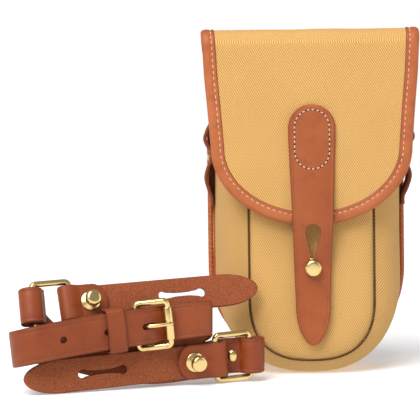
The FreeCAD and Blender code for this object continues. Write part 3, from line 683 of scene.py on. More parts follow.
def gusset():
    """Foam-padded side and bottom strip: full between its two seams, pinched at each of them."""
    back = GUSSET_SECTIONS[0][0]
    spans = [(back, 16, 8), (14.5, -17, 20), (-18.5, SEAM_Y, 14)]
    depths = np.concatenate([np.linspace(*span) for span in spans])
    grid = gusset_point_rows(depths)
    across = np.arange(grid.shape[1]) / (grid.shape[1] - 1.0)
    for i, y in enumerate(depths):
        centre = vec(0.0, y, 120.0)
        away = grid[i] - centre
        away[:, 1] = 0.0
        away /= np.linalg.norm(away, axis=1, keepdims=True)
        pinch = 1.3 * math.exp(-(back - y) / 2.0) + 1.6 * math.exp(-(y - SEAM_Y) / 1.6)
        between = math.sin(math.pi * (back - y) / (back - SEAM_Y))
        puff = waves(across * 300.0, np.full_like(across, y), 95.0, 1.0) * 0.7 * between
        lower = np.clip((90.0 - grid[i][:, 2]) / 60.0, 0, 1)
        gather = 0.55 * np.sin(across * 210.0) * math.exp(-(y - SEAM_Y) / 5.0) * lower
        grid[i] += away * (puff - pinch + gather)[:, None]
    tucked = grid[-1].copy()
    tucked[:, 0] *= 0.955
    tucked[:, 1] += 2.5
    tucked[:, 2] += 1.6
    grid = np.concatenate([grid, tucked[None]])
    grid[:, :, 2] = np.maximum(grid[:, :, 2], 0.15)
    cloth = np.zeros_like(grid)
    middle = grid.shape[1] // 6
    cloth[:, :, 0] = cumulative(grid[:, middle])[:, None]
    cloth[:, :, 1] = cumulative(grid[20])[None, :]
    piece = sheet_solid("canvas_gusset", grid, 1.6, CANVAS_SIDE, cloth, -1.0)
    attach(piece, "pouch")
    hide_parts("gusset")


def front_line(inset):
    """Front seam, moved in by the inset, as 200 even points."""
    return even(outline(FRONT_HALF - inset, FRONT_BOTTOM + inset, SEAM_POWER, sides=30, curve=80), 200)


def front_panel():
    """Front of the pocket: domed, rolled in at its seam, softly gathered round the lower curve."""
    levels = [0.15, 0.35, 0.7, 1.3, 2.1, 3.2, 4.8, 7.0, 10.0, 14.0, 19.0, 25.0, 32.0, 37.0, 39.98]
    depth_at = [4.2, 2.2, 0.6, -1.0, -2.3, -3.2, -3.9, -4.5, -5.0, -5.35, -5.5, -5.6, -5.6, -5.6, -5.6]
    rows = []
    for inset, dy in zip(levels, depth_at):
        line = front_line(inset)
        low = np.clip((70.0 - line[:, 1]) / 60.0, 0, 1)
        ripple = 0.5 * np.sin(np.arange(len(line)) * 0.62) * low * math.exp(-inset / 6.0)
        hollow = waves(line[:, 0], line[:, 1], 70.0, 2.0) * 0.45 * min(inset / 8.0, 1.0)
        y = SEAM_Y + dy + ripple + hollow
        rows.append(np.stack([line[:, 0], y, line[:, 1]], axis=1))
    grid = np.array(rows)
    cloth = np.stack([grid[:, :, 0], grid[:, :, 2], np.zeros(grid.shape[:2])], axis=2)
    piece = sheet_solid("canvas_front", grid, 1.4, CANVAS, cloth, -1.0)
    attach(piece, "pouch")
    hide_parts("front_panel")


def seam_shade_strip():
    """Dark strip of painted shade at the bottom of the seam between the front panel and the gusset."""
    path = [(x, SEAM_Y - 0.1, z) for x, z in front_line(-0.15)]
    piece = wire("front_seam_shade_strip", path, 0.5, (0.0, -1.0, 0.0), SEAM_SHADE, closed=False)
    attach(piece, "pouch")


def panel_grid(half, low, power, y_of, top, count=160, insets=14):
    """Flat U-shaped panel as rings that shrink towards its middle line."""
    rows = []
    for k in range(insets):
        inset = (half - 0.02) * (k / (insets - 1.0)) ** 1.3
        line = even(outline(half, low, power, inset, top), count)
        rows.append(np.stack([line[:, 0], y_of(inset, line[:, 0], line[:, 1]), line[:, 1]], axis=1))
    return np.array(rows)


def back_panel():
    """Flat back of the pouch, slightly uneven, inside its stitched edge."""
    def depth(inset, x, z):
        return 25.0 + 0.5 * min(inset / 12.0, 1.0) + 0.25 * waves(x, z, 80.0, 3.0)

    grid = panel_grid(64.6, 1.3, 2.1, depth, MOUTH_Z + 1.0)
    cloth = np.stack([grid[:, :, 0], grid[:, :, 2], np.zeros(grid.shape[:2])], axis=2)
    piece = sheet_solid("canvas_back", grid, 2.2, CANVAS_SIDE, cloth, 1.0)
    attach(piece, "pouch")
    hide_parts("back_panel")


def pocket_lining():
    """Dark cloth inside the pocket, just within the padded wall."""
    rows = []
    for y in np.linspace(22.4, SEAM_Y + 1.0, 26):
        half, low, power = gusset_section(y)
        line = even(outline(half, max(low, 0.4), power, 3.0, MOUTH_Z - 1.0), 160)
        rows.append(np.stack([line[:, 0], np.full(len(line), y), line[:, 1]], axis=1))
    grid = np.array(rows)
    cloth = np.stack([grid[:, :, 1], grid[:, :, 2], grid[:, :, 0] * 0.0], axis=2)
    piece = sheet_solid("pocket_lining", grid, 0.6, LINING_CLOTH, cloth, -1.0)
    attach(piece, "pouch")
    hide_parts("lining")


def binding_mesh(name, path, inward, normal, section, material):
    """Leather wrapped over an edge: the section is (inward, outward) millimetres round the edge."""
    points, strap, edge = [], [], []
    length = cumulative(path)
    reach = max(s[0] for s in section)
    for p, i, n, s in zip(path, inward, normal, length):
        for a, b in section:
            points.append(p + i * a + n * b)
            strap.append((s, a, 1.0))
            edge.append(reach - a)
    faces = ring_faces(len(path), len(section))
    return make_mesh(name, points, faces, material, strap=np.array(strap), edge=np.array(edge))


def edge_frame(path, normal):
    """Inward direction at each point of an edge, given the outward surface normals."""
    along = np.gradient(path, axis=0)
    inward = np.cross(normal, along)
    return inward / np.linalg.norm(inward, axis=1, keepdims=True)


def back_binding():
    """Leather edging sewn round the back seam, with its heavy thread showing from the sides."""
    line = even(outline(BACK_HALF, 0.3, 2.1, top=160.0), 240)
    path = np.stack([line[:, 0], np.full(len(line), 24.3), line[:, 1]], axis=1)
    normal = np.tile(vec(0, -1, 0), (len(path), 1))
    inward = edge_frame(path, normal)
    centre = vec(0, 24.3, 110.0)
    flip = np.sign(((centre - path) * inward).sum(1))[:, None]
    inward = inward * flip
    section = [(6.5, 1.55), (5.6, 1.75), (4.3, 1.75), (3.6, 1.35), (3.0, 1.75), (1.6, 1.75), (0.5, 1.3),
               (0.0, 0.4), (0.0, -0.4), (0.5, -1.3), (1.6, -1.65), (4.0, -1.65), (6.5, -1.5), (6.6, 0.0)]
    piece = binding_mesh("back_edge_binding", path, inward, normal, section, TAN)
    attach(piece, "pouch")
    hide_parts("back_binding")
    keep = path[:, 2] < 128.0
    seam = (path + inward * 1.9 + normal * 1.75)[keep]
    thread = stitches("back_edge_thread", seam, normal[keep], 3.1, 3.9, 0.62, RUSSET, 0.45)
    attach(thread, "pouch")
    rear = (path + inward * 3.6 - normal * 1.62)[keep]
    thread = stitches("back_edge_thread_rear", rear, -normal[keep], 3.8, 2.9, 0.42, CREAM)
    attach(thread, "pouch")


def mouth_binding():
    """Leather strip folded over the top edge of the front panel, hidden under the flap."""
    path = spread([(-39.5, SEAM_Y - 2.2, MOUTH_Z - 1.0), (0.0, SEAM_Y - 3.6, MOUTH_Z - 1.0),
                   (39.5, SEAM_Y - 2.2, MOUTH_Z - 1.0)], 2.5)
    normal = np.tile(vec(0, -1, 0), (len(path), 1))
    inward = np.tile(vec(0, 0, -1), (len(path), 1))
    section = [(9.0, 0.9), (5.0, 1.1), (1.0, 0.9), (-1.2, 0.0),
               (-1.2, -1.2), (1.0, -2.2), (9.0, -2.0), (9.1, -0.6)]
    piece = binding_mesh("mouth_edge_binding", path, inward, normal, section, TAN)
    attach(piece, "pouch")
    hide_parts("mouth_binding")


def side_loop(side, word):
    """Leather strip pinched by a rivet, which leaves two loops standing off the gusset."""
    upper, lower = LOOP_REACH[side]
    path = [(2.0, 167.0), (2.1, 162.5), (upper * 0.7, 158.0), (upper, 152.0), (upper * 0.75, 147.5),
            (2.3, 143.8), (2.3, 137.2), (lower * 0.72, 133.2), (lower, 126.0), (lower * 0.7, 118.5),
            (2.2, 112.5), (2.0, 107.0)]
    rows = [(side * (SIDE_WALL + out), 13.0, z, 0.0, -1.0, 0.0) for out, z in path]
    stations = spread(rows, 1.2)
    piece = strap_mesh("side_loop_leather_" + word, stations, lambda i, s: 9.0, 2.3, TAN, out=side)
    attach(piece, "pouch")
    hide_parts("side_loop_" + word)
    profile = [(0.4, 0.1), (0.4, 2.0), (3.6, 2.0), (3.6, 3.0), (3.9, 3.05),
               (4.3, 2.7), (4.6, 1.8), (4.8, 0.8), (4.85, 0.1)]
    base = (side * SIDE_WALL, 13.0, 140.5)
    head = lathe("side_loop_rivet_head_" + word, profile, base, (side, 0, 0), BRASS, 32)
    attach(head, "pouch")
    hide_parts("side_loop_rivet_" + word)


# ---- Flap --------------------------------------------------------------------------------
def flap_line(step):
    """Outside of the flap from the back seam, over the top and down the front, as (0, y, z)."""
    top_back = arc(16.0, FLAP_TOP - 9.0, 9.0, 0, 90, 6)
    top_front = arc(-33.0, FLAP_TOP - 9.5, 9.5, 90, 180, 6)
    points = [(26.9, 190.0), (26.9, 200.0), (26.6, 207.0), (25.3, 211.5)] + top_back[1:]
    points += [(-8.0, FLAP_TOP - 0.4)] + top_front + [(FLAP_Y, 180.0), (FLAP_Y, FLAP_ARC_Z)]
    return spread([(0.0, y, z) for y, z in points], step)


def flap_half(z):
    share = np.clip((z - FLAP_ARC_Z) / (FLAP_TOP - FLAP_ARC_Z), 0.0, 1.0)
    return FLAP_HALF_LOW + (FLAP_HALF_TOP - FLAP_HALF_LOW) * share


def flap_rows():
    """Centre line points of the flap with the half width there: straight part, then the lower curve."""
    rows = [(p[1], p[2], float(flap_half(p[2])) - (2.5 if p[1] > 26.0 else 0.0)) for p in flap_line(2.5)]
    for k in range(1, 33):
        t = math.pi / 2.0 * k / 32.0
        rows.append((FLAP_Y, FLAP_ARC_Z - (FLAP_ARC_Z - FLAP_LOW) * math.sin(t), FLAP_HALF_LOW * math.cos(t)))
    return np.array(rows)


def flap_grid(inset, depth, start=0, cols=61):
    """Grid of the flap's cloth, set in from its edge and below its outside, with its flat coordinates."""
    rows = flap_rows()
    line = np.stack([np.zeros(len(rows)), rows[:, 0], rows[:, 1]], axis=1)
    tangent = np.gradient(line, axis=0)
    normal = np.cross(tangent, vec(1, 0, 0))
    normal /= np.maximum(np.linalg.norm(normal, axis=1, keepdims=True), 1e-9)
    normal[-33:] = vec(0, -1, 0)
    length = cumulative(line)
    grid, cloth = [], []
    lower = FLAP_ARC_Z - FLAP_LOW
    for i in range(start, len(rows)):
        y, z, half = rows[i]
        if z < FLAP_ARC_Z:
            t = math.asin(min(1.0, (FLAP_ARC_Z - z) / lower))
            half = max((FLAP_HALF_LOW - inset) * math.cos(t), 0.3)
            z = FLAP_ARC_Z - (lower - inset) * math.sin(t)
        else:
            half = half - inset
        x = np.linspace(-half, half, cols)
        p = np.stack([x, np.full(cols, y), np.full(cols, z)], axis=1)
        calm = np.clip((half - np.abs(x)) / 14.0, 0.0, 1.0)
        calm = calm * min(max((rows[i][1] - FLAP_LOW) / 16.0, 0.0), 1.0)
        swell = 0.35 * waves(x, np.full(cols, length[i]), 85.0, 5.0) * calm
        p = p - normal[i] * (depth - swell)[:, None]
        grid.append(p)
        cloth.append(np.stack([x, np.full(cols, -length[i] if y > -42 else z), np.zeros(cols)], axis=1))
    return np.array(grid), np.array(cloth)


def flap():
    """Canvas outside and its lining; the weave runs on from the front over the top."""
    grid, cloth = flap_grid(3.2, 0.5)
    rows = flap_rows()
    front_top = rows[:, 1][rows[:, 0] <= -42.0][0]
    over_top = cloth[:, 0, 1] <= 0
    cloth[over_top, :, 1] += front_top - cloth[over_top, 0, 1][-1]
    piece = sheet_solid("canvas_flap", grid, 1.3, CANVAS, cloth, 1.0)
    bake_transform(piece, "pouch", "flap", start=(0, .0264, .204), end=(0, .0212, .2058))
    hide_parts("flap_panel")
    grid, cloth = flap_grid(3.2, 2.2, start=9)
    piece = sheet_solid("flap_lining_cloth", grid, 0.5, LINING_CLOTH, cloth, 1.0)
    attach(piece, "flap")
    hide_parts("flap_lining")


def flap_edge():
    """Points and outward normals of the flap's edge, from the left hinge round to the right hinge."""
    rows = [(p[1], p[2], float(flap_half(p[2]))) for p in flap_line(1.5) if p[1] < 25.9 or p[2] > 209.9]
    line = np.array([(0.0, y, z) for y, z, half in rows])
    tangent = np.gradient(line, axis=0)
    normal = np.cross(tangent, vec(1, 0, 0))
    normal /= np.linalg.norm(normal, axis=1, keepdims=True)
    left = [(-half, y, z) for y, z, half in rows]
    lower, drop, count = [], FLAP_ARC_Z - FLAP_LOW, 120
    for k in range(1, count):
        t = math.pi * k / count
        lower.append((-FLAP_HALF_LOW * math.cos(t), FLAP_Y, FLAP_ARC_Z - drop * math.sin(t)))
    right = [(-x, y, z) for x, y, z in left[::-1]]
    path = np.array(left + lower + right)
    normals = np.concatenate([normal, np.tile(vec(0, -1, 0), (len(lower), 1)), normal[::-1]])
    return path, normals


def flap_binding():
    """Leather folded round the flap's edge, with a sewn groove and two rows of thread."""
    path, normal = flap_edge()
    inward = edge_frame(path, normal)
    if inward[len(path) // 2, 2] < 0:
        inward = -inward
    wobble = 0.35 * np.sin(np.arange(len(path)) * 0.11) * np.exp(-((path[:, 2] - 195.0) / 18.0) ** 2)
    path = path - inward * wobble[:, None]
    section = [(BINDING_W, -0.3), (BINDING_W - 0.05, 0.95), (BINDING_W - 0.6, 1.4), (7.0, 1.45), (6.0, 0.95),
               (5.0, 1.4), (3.4, 1.55), (1.8, 1.35), (0.7, 0.75), (0.1, 0.0), (0.0, -0.9), (0.2, -1.8),
               (0.9, -2.6), (2.0, -3.0), (5.0, -3.05), (8.0, -2.95), (8.1, -1.2)]
    piece = binding_mesh("flap_edge_binding", path, inward, normal, section, TAN)
    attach(piece, "flap")
    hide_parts("flap_binding")
    for name, out, level in (("flap_edge_thread", 1.0, 0.98), ("flap_edge_thread_under", -1.0, 3.02)):
        seam = path + inward * 6.0 + normal * out * level
        thread = stitches(name, seam, normal * out, 3.8, 2.4, 0.31, CREAM)
        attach(thread, "flap")


# ---- Closure strap --------------------------------------------------------------------------
def closure_stations():
    """Line of the closure strap: on the flap, off its edge, and down to the stud."""
    on_flap = FLAP_Y - CLOSURE_T / 2.0 - 0.4
    stud_y = SEAM_Y - 5.5 - 2.2 - CLOSURE_T / 2.0
    line = [(on_flap, 172.0), (on_flap, 150.0), (on_flap, 132.0), (on_flap - 1.6, 112.0),
            (on_flap - 1.7, 99.0), (on_flap + 1.6, 84.0), (stud_y, 70.0), (stud_y + 0.2, 50.0),
            (stud_y - 0.2, 19.7)]
    return spread([(0.0, y, z, 1.0, 0.0, 0.0) for y, z in line], 0.9)


def closure_half(z):
    """Half width of the closure strap: round top, slight taper, pointed tip."""
    if z > 157.2:
        return max(14.8 * math.sqrt(max(1 - ((z - 157.2) / 14.8) ** 2, 0.0)), 1.2)
    if z < 46.0:
        return max(11.0 * math.sqrt(max(1 - ((46.0 - z) / 26.3) ** 2, 0.0)) ** 1.05, 0.8)
    return 11.0 + 3.8 * min(max((z - 50.0) / 100.0, 0.0), 1.0)


def teardrop():
    """Outline of the strap's slot: wide above, narrow neck, and a round seat for the stud."""
    top_z, wide, neck, seat = 91.9, 5.1, 1.6, 3.1
    points = [(wide * math.cos(a), top_z + wide * math.sin(a)) for a in np.linspace(0.0, math.pi, 13)]
    points += [(-neck, STUD_Z + 8.0), (-neck, STUD_Z + 2.6)]
    round_seat = np.linspace(2.15, 2 * math.pi + 0.99, 15)
    points += [(seat * math.cos(a), STUD_Z + seat * math.sin(a)) for a in round_seat]
    points += [(neck, STUD_Z + 2.6), (neck, STUD_Z + 8.0)]
    return points


def closure_strap():
    """Strap with its teardrop slot, its oval of thread, and near-black discs of painted shade at the punched
    stitch holes.
    """
    stations = closure_stations()
    piece = strap_mesh("closure_strap_leather", stations, lambda i, s: closure_half(stations[i, 2]),
                       CLOSURE_T, STRAP_LEATHER, out=-1.0, crease=2.4)
    cutter = prism_cutter([(x, -70.0, z) for x, z in teardrop()], (0, 60, 0))
    piece = cut(piece, [cutter])
    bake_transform(piece, "flap", "closure_strap", start=(0, -.045, .130), end=(0, -.045, .119))
    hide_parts("closure_strap_sewn", "closure_strap_free")
    front = FLAP_Y - CLOSURE_T - 0.4
    corner, high, low = 10.9, 168.6, 131.4
    loop = arc(0.0, high - corner, corner, 0, 180, 24) + arc(0.0, low + corner, corner, 180, 360, 24)
    loop.append(loop[0])
    seam = np.array([(x, front + 0.03, z) for x, z in loop])
    normal = np.tile(vec(0, -1, 0), (len(seam), 1))
    pitch = 3.0
    thread = stitches("closure_oval_thread", seam, normal, pitch, 2.0, 0.38, CREAM)
    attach(thread, "flap")
    # Near-black discs at each stitch hole are painted shade standing in for the hollow of the hole.
    spots = spread(np.concatenate([seam, normal], axis=1), STITCH_STEP)
    points, faces = [], []
    for i in range(int((len(spots) - 1) * STITCH_STEP / pitch)):
        p = spots[int(i * pitch / STITCH_STEP)][:3]
        start = len(points)
        for r, h in ((0.62, 0.02), (0.5, -0.1), (0.05, -0.14)):
            points += [p + vec(*q) for q in disc(0.0, 0.0, r, 8, h)]
        faces += [tuple(v + start for v in f) for f in ring_faces(3, 8)]
    holes = make_mesh("closure_oval_hole_shades", points, faces, HOLE_SHADE)
    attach(holes, "flap")


def ball_stud(name, base, axis, front, body, node, head_r, neck_r, flange, placement=None, behind=0.0):
    """Ball stud: thin flange, neck and a flattened ball; with behind set, a cap closes it at the rear."""
    profile = []
    if behind:
        profile += [(-behind - 1.2, 0.1), (-behind - 1.2, 4.2), (-behind - 0.9, 4.6), (-behind - 0.1, 4.6),
                    (-behind - 0.1, neck_r * 0.85), (front + 0.1, neck_r * 0.85)]
    else:
        profile += [(front - 0.4, 0.1)]
    profile += [(front + 0.1, flange - 0.2), (front + 0.3, flange), (front + 0.75, flange - 0.05),
                (front + 1.1, flange - 0.5), (front + 1.3, neck_r + 0.5), (front + 1.8, neck_r + 0.05),
                (front + 4.0, neck_r + 0.1)]
    bottom, top = front + 4.6, front + 10.6
    for k in range(0, 19):
        t = math.pi * (k + 0.5) / 19.0
        r = head_r * math.sin(t) ** 0.42
        h = (bottom + top) / 2.0 - (top - bottom) / 2.0 * math.copysign(abs(math.cos(t)) ** 0.85, math.cos(t))
        if r > neck_r or k > 6:
            profile.append((h, r))
    profile.append((top, 0.05))
    piece = lathe(name, profile, base, axis, BRASS, 56, placement)
    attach(piece, body)
    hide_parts(node)


# ---- Harness strap -------------------------------------------------------------------------
def band_height(x):
    """Middle height of the strap's visible front band, which rises to the right and flattens."""
    return 29.3 + 0.185 * x - 0.00063 * x * x


def band_across(x):
    """Direction across the band: it leans with the buckle and stands upright at the right."""
    lean = math.radians(BUCKLE_TILT) * max(0.0, min(1.0, (122.0 - x) / 30.0))
    return (-math.sin(lean), 0.0, math.cos(lean))


def band(points):
    return [(x, y, band_height(x), *band_across(x)) for x, y in points]


def left_bend(radius, start, end):
    """Half turn at the left end of the coil, which sinks towards the back."""
    rows = []
    for x, y in arc(BEND_X, BEND_Y, radius, start, end, 10):
        sink = 4.0 * (y - BEND_Y + radius) / (2.0 * radius)
        rows.append((x, y, band_height(x) - sink, *band_across(x)))
    return rows


def upright(points):
    return [(*p, 0.0, 0.0, 1.0) for p in points]


def roll_height(x):
    """Middle height of the strap that is rolled round the lower ring."""
    return LOWER_RING[2] + 0.2 + (x - LOWER_RING[0]) * math.tan(math.radians(LOWER_TILT))


def tip_half(total, full, tip_start, tip_end):
    """Half width of a strap that is rounded at its start, at its end, or at both."""
    def half(i, s):
        share = 1.0
        if tip_start and s < tip_start:
            share = math.sqrt(max(1 - (1 - s / tip_start) ** 2, 0.0))
        if tip_end and total - s < tip_end:
            share = min(share, math.sqrt(max(1 - (1 - (total - s) / tip_end) ** 2, 0.0)))
        return max(full * share, 0.7)
    return half


def path_length(stations):
    return float(np.linalg.norm(np.diff(stations[:, :3], axis=0), axis=1).sum())


def buckle_strap():
    """Folded round the buckle's heel bar, round the left bend, back to a roll on the lower ring."""
    heel_fold = arc(HEEL[0], HEEL[1], 3.75, 105, -105, 14)
    rows = band([(50.0, 4.35), (58.0, 4.35), (69.6, 4.5), (73.0, 6.3)] + heel_fold
                + [(71.0, 1.5), (56.0, 1.4), (40.0, 1.4), (26.0, 1.4)])
    rows += left_bend(11.1, -90, -270)
    rows += upright([(30.0, 23.4, 26.6), (50.0, 22.2, 20.6), (72.0, 20.6, 15.2), (90.0, 19.2, 13.16),
                     (105.0, 18.4, 13.4), (120.0, 17.5, 15.2),
                     (135.0, 16.0, roll_height(135.0)), (147.0, 13.9, roll_height(147.0))])
    around = arc(154.0, 7.2, LOWER_ROLL_R, 82, -178, 14)
    around += [(147.2, 9.6), (144.6, 11.3), (140.0, 12.4), (135.0, 13.1)]
    rows += upright([(x, y, roll_height(x)) for x, y in around])
    stations = spread(rows, 0.8)
    piece = strap_mesh("harness_strap_buckle_side", stations, lambda i, s: STRAP_W / 2.0, STRAP_T, COGNAC,
                       out=1.0, crease=2.4, placement=HARNESS)
    slot = prism_cutter([(-5.0, -9.0, -2.4), (9.0, -9.0, -2.4), (9.0, -9.0, 2.4), (-5.0, -9.0, 2.4)],
                        (0, 18, 0), BUCKLE)
    piece = cut(piece, [slot])
    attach(piece, "harness")
    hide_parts("buckle_strap")


def holed_strap():
    """Free end over the other strap, through the buckle, round the right bend, to the upper ring."""
    rows = [(38.0, 26.2, 25.6, 0.0, 0.0, 1.0), (28.0, 26.5, 28.2, *band_across(28.0))]
    rows += left_bend(14.0, -270, -90)
    over = [(26.0, -1.5), (50.0, -1.55), (70.0, -1.9), (79.0, -1.95), (85.0, -0.6), (91.0, 2.2),
            (97.5, 3.6), (105.0, 1.9), (112.0, 0.3), (117.5, 0.1)]
    rows += [(x, y, z + 0.06 * max(0.0, x - 100.0), *across) for x, y, z, *across in band(over)]
    rows += upright([(121.4, 0.4, 43.6), (123.9, 1.9, 43.3), (125.4, 5.0, 42.4), (125.2, 8.4, 40.4),
                     (124.0, 10.2, 39.2), (121.6, 11.6, 36.7), (118.0, 12.9, 34.8), (110.0, 13.8, 33.0),
                     (80.0, 14.0, 31.4), (55.0, 14.4, 30.0), (44.0, 15.0, 29.4), (37.0, 15.6, 29.2),
                     (32.0, 16.8, 30.2), (26.6, 18.8, 35.0), (22.6, 20.4, 41.0)])
    lean = math.radians(UPPER_LEAN)
    leaned = vec(0, math.sin(lean), math.cos(lean))
    half_leaned = vec(0, math.sin(lean / 2), math.cos(lean / 2))
    away = vec(0, math.cos(lean), -math.sin(lean))
    centre = vec(15.5, UPPER_RING[1], UPPER_RING[2] + 0.1)
    rows.append((19.4, 21.3, 47.2, *half_leaned))
    for x, y in arc(0, 0, ROLL_R, 96, 340, 14) + [(7.6, 1.4)]:
        rows.append((*(centre + vec(x, 0, 0) + away * y), *leaned))
    stations = spread(rows, 0.8)
    piece = strap_mesh("harness_strap_holed_side", stations, lambda i, s: STRAP_W / 2.0, STRAP_T, COGNAC,
                       out=-1.0, crease=2.4, placement=HARNESS)
    cutters = []
    for x in (30.4, 57.4):
        rim = disc(x, band_height(x), HOLE_R, 20, -7.0)
        cutters.append(prism_cutter(rim, (0, 7.0, 0), HARNESS))
    pulled = arc(9.4, 0.0, HOLE_R, -90, 90, 10) + arc(5.5, 0.0, HOLE_R, 90, 270, 10)
    cutters.append(prism_cutter([(x, -9.0, z) for x, z in pulled], (0, 9.5, 0), BUCKLE))
    piece = cut(piece, cutters)
    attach(piece, "harness")
    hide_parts("holed_strap")


def bone(x0, x1):
    """Outline of a tongue's slot: a round hole at each end and a narrow neck between them."""
    hole, open_angle, neck, waist, reach = 2.9, 2.3, 1.35, 1.25, 8.0
    middle = (x0 + x1) / 2.0
    points = []
    for x, facing, side in ((x1, 0.0, 1), (x0, math.pi, -1)):
        angles = np.linspace(facing - open_angle, facing + open_angle, 13)
        points += [(x + hole * math.cos(a), hole * math.sin(a)) for a in angles]
        other = x0 + x1 - x
        points.append((x - side * reach, side * neck))
        points.append((middle, side * waist))
        points.append((other + side * reach, side * neck))
    return points


def tongue_group(word, placement, bar_x, side, tip, tab_end, stud_x, slot):
    """Slotted tongue doubled round its ring, with the ball stud that clamps tab and tongue."""
    rear, near = LAYER / 2.0, side * 5.5
    fold = [(-side * x, y) for x, y in arc(FOLD_SLACK, 0, FOLD_R, 90, -90, 12)]
    path = [(tip - bar_x, rear), ((tip - bar_x) * 0.5, rear), (near + side * 1.5, rear), (near, rear + 0.05)]
    path += [(0.0, FOLD_R)] + fold + [(0.0, -FOLD_R)]
    path += [(near, -rear - 0.05), (near + side * 1.5, -rear), (tab_end - bar_x, -rear)]
    stations = spread([(x, y, 0.0, 0.0, 0.0, 1.0) for x, y in path], 0.7)
    half = tip_half(path_length(stations), STRAP_W / 2.0, 24.0, 9.0)

    def narrowed(i, s):
        return half(i, s) if stations[i, 1] < 0 else half(i, s) * TONGUE_W / STRAP_W

    piece = strap_mesh(word + "_tongue_leather", stations, narrowed, STRAP_T, COGNAC, out=-side * 1.0,
                       placement=placement)
    slot_line = [(x - bar_x, -0.2, z) for x, z in bone(*slot)]
    piece = cut(piece, [prism_cutter(slot_line, (0, 12, 0), placement)])
    body = word + "_tongue"
    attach(piece, body)
    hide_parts(word + "_tongue_strap")
    face = LAYER / 2.0 + STRAP_T / 2.0
    ball_stud(word + "_tongue_stud", (stud_x - bar_x, 0.0, 0.0), (0, -1, 0), face, body,
              word + "_stud", 5.0, 2.4, 6.1, placement, behind=face)
    shift = 0.0 if side < 0 else -(RING_L - 2 * BAR_R)
    rise = LOWER_RING_RISE if side < 0 else 0.0
    ring = [(x + shift, y, z + rise) for x, y, z in ring_path(RING_L, RING_H, BAR_R, 2.6)]
    piece = wire(word + "_ring_wire", ring, BAR_R, (0, 1, 0), BRASS, placement=placement)
    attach(piece, word + "_ring_body")
    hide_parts(word + "_ring")


def sleeve(name, x, profile, segments):
    """Closed tube on an upright bar of the buckle; the profile is (height, radius)."""
    points = []
    for h, r in profile:
        points += [(x + r * math.cos(a), r * math.sin(a), h) for a in turns(segments)]
    faces = [f[::-1] for f in ring_faces(len(profile), segments, True)]
    return make_mesh(name, to_space(points, BUCKLE), faces, BRASS)


def buckle():
    """Square wire frame, the roller on its far bar, and the prong on its heel bar."""
    frame_wire = ring_path(BUCKLE_L + 2 * WIRE_R, BUCKLE_H + 2 * WIRE_R, WIRE_R, 2.4)
    piece = wire("buckle_frame_wire", frame_wire, WIRE_R, (0, 1, 0), BRASS, placement=BUCKLE)
    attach(piece, "buckle")
    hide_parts("buckle_frame")
    reach = (BUCKLE_H - 7.4) / 2.0
    profile = [(-reach, 2.06), (-reach, 2.5), (-reach + 0.15, 2.75), (-reach + 0.5, 2.9), (reach - 0.5, 2.9),
               (reach - 0.15, 2.75), (reach, 2.5), (reach, 2.06), (reach - 0.4, 2.06), (-reach + 0.4, 2.06)]
    piece = sleeve("buckle_roller_tube", BUCKLE_L, profile, 40)
    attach(piece, "roller")
    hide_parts("buckle_roller")
    path = spread([(1.6, -2.2, 0.0), (4.6, -3.0, 0.0), (8.0, -5.0, 0.0), (12.5, -5.2, 0.0),
                   (BUCKLE_L, -4.35, 0.0), (BUCKLE_L + 2.6, -3.75, 0.0)], 0.5)
    points = []
    count = len(path)
    along = np.gradient(path, axis=0)
    for i, (p, t) in enumerate(zip(path, along)):
        side = unit(np.cross(unit(t), vec(0, 0, 1)))
        r = 1.45 - 0.45 * i / count
        if i > count - 4:
            r *= (0.95, 0.8, 0.45)[i - count + 3]
        points += [p + side * math.cos(a) * r * 0.9 + vec(0, 0, 1) * math.sin(a) * r for a in turns(16)]
    piece = make_mesh("buckle_prong_pin", to_space(points, BUCKLE), ring_faces(count, 16), BRASS)
    eye = [(-1.75, 3.2), (-1.2, 3.35), (1.2, 3.35), (1.75, 3.2), (1.75, 2.06), (-1.75, 2.06)]
    collar = sleeve("buckle_prong_eye", 0.0, eye, 32)
    for part in (piece, collar):
        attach(part, "prong")
    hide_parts("buckle_prong")


def keeper():
    """Closed leather band round both layers of the strap, a little fuller in front."""
    slope = math.degrees(math.atan(0.185 - 2 * 0.00063 * KEEPER_X))
    placement = HARNESS @ Matrix.Translation((KEEPER_X, 0.0, band_height(KEEPER_X))) @ turn(-slope, "Y")
    low_y, high_y, half = -1.7 - STRAP_T / 2.0 - 0.5, 4.4 + STRAP_T / 2.0 + 0.5, STRAP_W / 2.0 + KEEPER_GAP
    y0, y1, z1, r = low_y - KEEPER_T / 2.0, high_y + KEEPER_T / 2.0, half + KEEPER_T / 2.0, 2.2
    corners = [(y0 + r, -z1 + r, 180, 270), (y1 - r, -z1 + r, 270, 360),
               (y1 - r, z1 - r, 0, 90), (y0 + r, z1 - r, 90, 180)]
    path = []
    for k, (cy, cz, a, b) in enumerate(corners):
        path += arc(cy, cz, r, a, b, 7)
        if k == 3:
            for u in np.linspace(0.08, 0.92, 12):
                path.append((y0 - 0.45 * math.sin(math.pi * u), (z1 - r) * (1 - 2 * u)))
        if k in (0, 2):
            side = -1 if k == 0 else 1
            path.append(((y0 + y1) / 2.0, side * z1))
        if k == 1:
            path += [(y1, -(z1 - r) * (1 - 2 * u)) for u in np.linspace(0.1, 0.9, 8)]
    stations = np.array([(0.0, y, z, 1.0, 0.0, 0.0) for y, z in path])
    piece = strap_mesh("keeper_leather", stations, lambda i, s: KEEPER_W / 2.0, KEEPER_T, COGNAC,
                       out=-1.0, closed=True, placement=placement)
    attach(piece, "keeper")
    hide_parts("keeper_loop")


def roll_rivet():
    """Rivet that closes the roll round the lower ring, with a head on both sides."""
    profile = [(-3.8, 0.1), (-3.75, 1.4), (-3.4, 2.6), (-2.9, 3.2), (-2.8, 3.2), (-2.8, 1.6),
               (2.8, 1.6), (2.8, 3.4), (3.0, 3.4), (3.5, 2.6), (3.8, 1.2), (3.85, 0.1)]
    base = (142.8, 13.1, roll_height(142.8))
    piece = lathe("roll_rivet_heads", profile, base, (-0.25, -1.0, 0.0), BRASS, 32, HARNESS)
    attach(piece, "harness")
    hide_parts("lower_roll_rivet")


